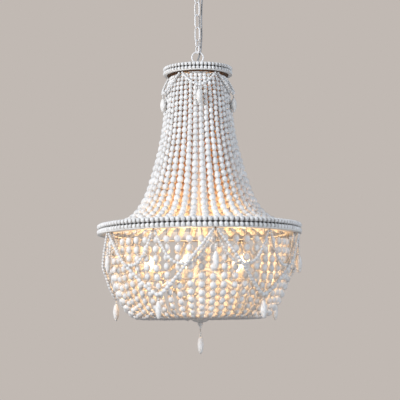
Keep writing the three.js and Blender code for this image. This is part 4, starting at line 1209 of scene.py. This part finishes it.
# %% Candle sleeves and bulbs
GLOW_HEIGHT = 24
GLOW_WATTS = 1.35
GLOW_RADIUS = 12 * MM
GLOW_COLOUR = "#FFC886"
sleeve = lathe([(0, -19), (9.2, -19), (9.2, -0.8), (10, 0), (11.4, 0), (12, -0.8), (12, -29), (0, -29)],
               24, SLEEVE_TOP)
cup = lathe([(0, 4.4), (17.6, 5.6), (18.6, 6), (19, 5.2), (18.4, 4), (15, 2), (7.6, 0), (0, 0)],
            24, CUP_BOTTOM)
glass = lathe([(0, 0.3), (9.8, 0.3), (11.4, 2.5), (14.6, 8), (16.8, 16), (17.5, 25), (16.6, 35), (14.2, 44),
               (10.6, 54), (6.6, 62), (3, 68), (0, 70.3)], 20, SLEEVE_TOP)
cap = lathe([(0, -18), (4, -17.6), (7.8, -14), (8.4, -12), (7.9, -10), (8.4, -8), (7.9, -6), (8.4, -4),
             (8.4, 0.2), (0, 0.2)], 20, SLEEVE_TOP)
hot_wire = lathe([(0, 1), (3.2, 1), (2.6, 9), (1.1, 12), (1.3, 44), (0, 45)], 8, SLEEVE_TOP)


def add_lamp(name, kind, at, watts, colour, **shape):
    """A lamp of a kind at a place. shape sets how large it is."""
    data = bpy.data.lights.new(name, kind)
    data.energy, data.color = watts, linear(colour)[:3]
    for setting, value in shape.items():
        setattr(data, setting, value)
    lamp = into_scene(name, data)
    lamp.location = at
    return lamp


for number, angle in enumerate(lamp_angles, start=1):
    spot = Matrix.Translation(around(angle, ARM_REACH * MM, 0))
    make_piece(f"candle_{number}", [(sleeve, spot, 0), (cup, spot, 1)], [f"candle_sleeve_{number}"],
               [ivory_tube, white_iron])
    make_piece(f"lit_bulb_{number}", [(glass, spot, 0), (cap, spot, 1), (hot_wire, spot, 2)],
               [f"bulb_{number}"], [bulb_glass, thin_brass, filament], f"bulb_{number}")
    add_lamp(f"glow_{number}", "POINT", around(angle, ARM_REACH * MM, (SLEEVE_TOP + GLOW_HEIGHT) * MM),
             GLOW_WATTS, GLOW_COLOUR, shadow_soft_size=GLOW_RADIUS)
print("bulbs stand at", round(SLEEVE_TOP), "mm")

# %% [markdown]
# ## The dish at the foot
# The strands end in a small iron dish. A nut on the stem holds it up, and a finial closes it from below.
# All three are turned, and the nut is a turned shape of only six steps.

# %% Dish, nut and finial
dish_floor, rim = box_heights("bottom_dish")
floor = dish_floor - rim
make_piece("foot_dish", [at_home(lathe([
    (27.4, -0.8), (28.6, 0), (30.4, 0), (31, -0.8), (30.6, -2.4), (29, -6), (27, -11.4), (22.6, -16),
    (15.5, -19.4), (5.4, floor), (5.4, -3), (7.9, -3), (8.5, -3.6), (8.5, floor + 2.2), (13.3, floor + 2.4),
    (20.6, -14.6), (25, -9.8), (27.4, -0.8),
], 48, rim))], ["bottom_dish"])
low, high = box_heights("dish_nut")
make_piece("dish_hex_nut", [at_home(lathe([
    (6.2, low), (8.4, low), (9, low + 0.8), (9, high - 0.8), (8.4, high), (6.2, high), (6.2, low),
], 6))], ["dish_nut"])
tip, finial_top = box_heights("bottom_finial")
end = tip - finial_top
make_piece("foot_finial", [at_home(lathe([
    (0, 0), (8, 0), (8.5, -0.8), (8.5, -3), (7.4, -4.6), (7.8, -6.4), (6.4, -9), (4, -11.4), (3, -13.4),
    (3.5, end + 2.6), (3, end + 0.6), (0, end),
], 24, finial_top))], ["bottom_finial"])
print("dish rim at", round(rim), "mm")

# %% [markdown]
# ## Stage and light
# The lamp hangs 2.4 m above a pale floor, in front of a plain warm grey that the camera, reflections and
# glass see. The world's own light is weaker and cooler, and fills the shade. More light would whiten the
# backdrop too, but also the beads, so the floor is lifted for the camera alone: it glows a little in the
# backdrop's colour where the camera sees it and stays plain for the light. One large soft lamp stands to
# the left of the camera and a weak cool one to the right.

# %% Floor and backdrop
FLOOR_Z = -2.4
FLOOR_REACH = 20
FLOOR_SPOT = 0.4
FLOOR_LIFT = 0.5
BACKDROP = "#C1B9B3"
FILL_COLOUR = "#CAD6E8"
FILL_STRENGTH = 0.36


def make_floor():
    """A wide pale floor that isn't part of the lamp."""
    bm = bmesh.new()
    bmesh.ops.create_grid(bm, x_segments=1, y_segments=1, size=FLOOR_REACH)
    bmesh.ops.translate(bm, vec=(0, 0, FLOOR_Z), verts=bm.verts)
    ground = into_scene("floor", as_shape(bm, "floor"))
    material = plain_finish("pale_floor", "#A8A29E", "#A49E9A", FLOOR_SPOT, Roughness=0.8,
                            Emission_Color=linear(BACKDROP))
    tree = material.node_tree
    seen = add_node(tree, "ShaderNodeMath", {"operation": "MULTIPLY"}, {1: FLOOR_LIFT},
                    {0: add_node(tree, "ShaderNodeLightPath").outputs["Is Camera Ray"]})
    tree.links.new(seen.outputs[0], tree.nodes["Principled BSDF"].inputs["Emission Strength"])
    ground.data.materials.append(material)


def make_world():
    """The camera, reflections and glass see the backdrop's colour, and the rest is soft fill light."""
    world = bpy.data.worlds.new("backdrop")
    bpy.context.scene.world = world
    world.use_nodes = True
    tree = world.node_tree
    tree.nodes.clear()
    rays = add_node(tree, "ShaderNodeLightPath").outputs
    seen = rays["Is Camera Ray"]
    for ray in ("Is Glossy Ray", "Is Transmission Ray"):
        either = add_node(tree, "ShaderNodeMath", {"operation": "MAXIMUM"}, links={0: seen, 1: rays[ray]})
        seen = either.outputs[0]
    fill = add_node(tree, "ShaderNodeBackground",
                    inputs={"Color": linear(FILL_COLOUR), "Strength": FILL_STRENGTH})
    wall = add_node(tree, "ShaderNodeBackground", inputs={"Color": linear(BACKDROP), "Strength": 1.0})
    mixed = add_node(tree, "ShaderNodeMixShader", links={0: seen, 1: fill.outputs[0], 2: wall.outputs[0]})
    add_node(tree, "ShaderNodeOutputWorld", links={"Surface": mixed.outputs[0]})


make_floor()
make_world()
print("floor at", FLOOR_Z, "m")

# %% Lamps
MIDDLE = Vector((0, 0, -0.7))
SOFT_LAMPS = {  # place, side in metres, watts and colour
    "key_left": (Vector((-3.4, -2.6, 0.6)), 1.4, 203, "#F8FAFF"),
    "fill_right": (Vector((3.2, -3.0, -0.2)), 2.0, 100, "#E4ECF8"),
}
for name, (at, side, watts, colour) in SOFT_LAMPS.items():
    lamp = add_lamp(name, "AREA", at, watts, colour, size=side)
    lamp.rotation_euler = (MIDDLE - at).to_track_quat("-Z", "Y").to_euler()
bpy.context.scene.view_settings.view_transform = "Standard"
print("soft lamps:", len(SOFT_LAMPS))
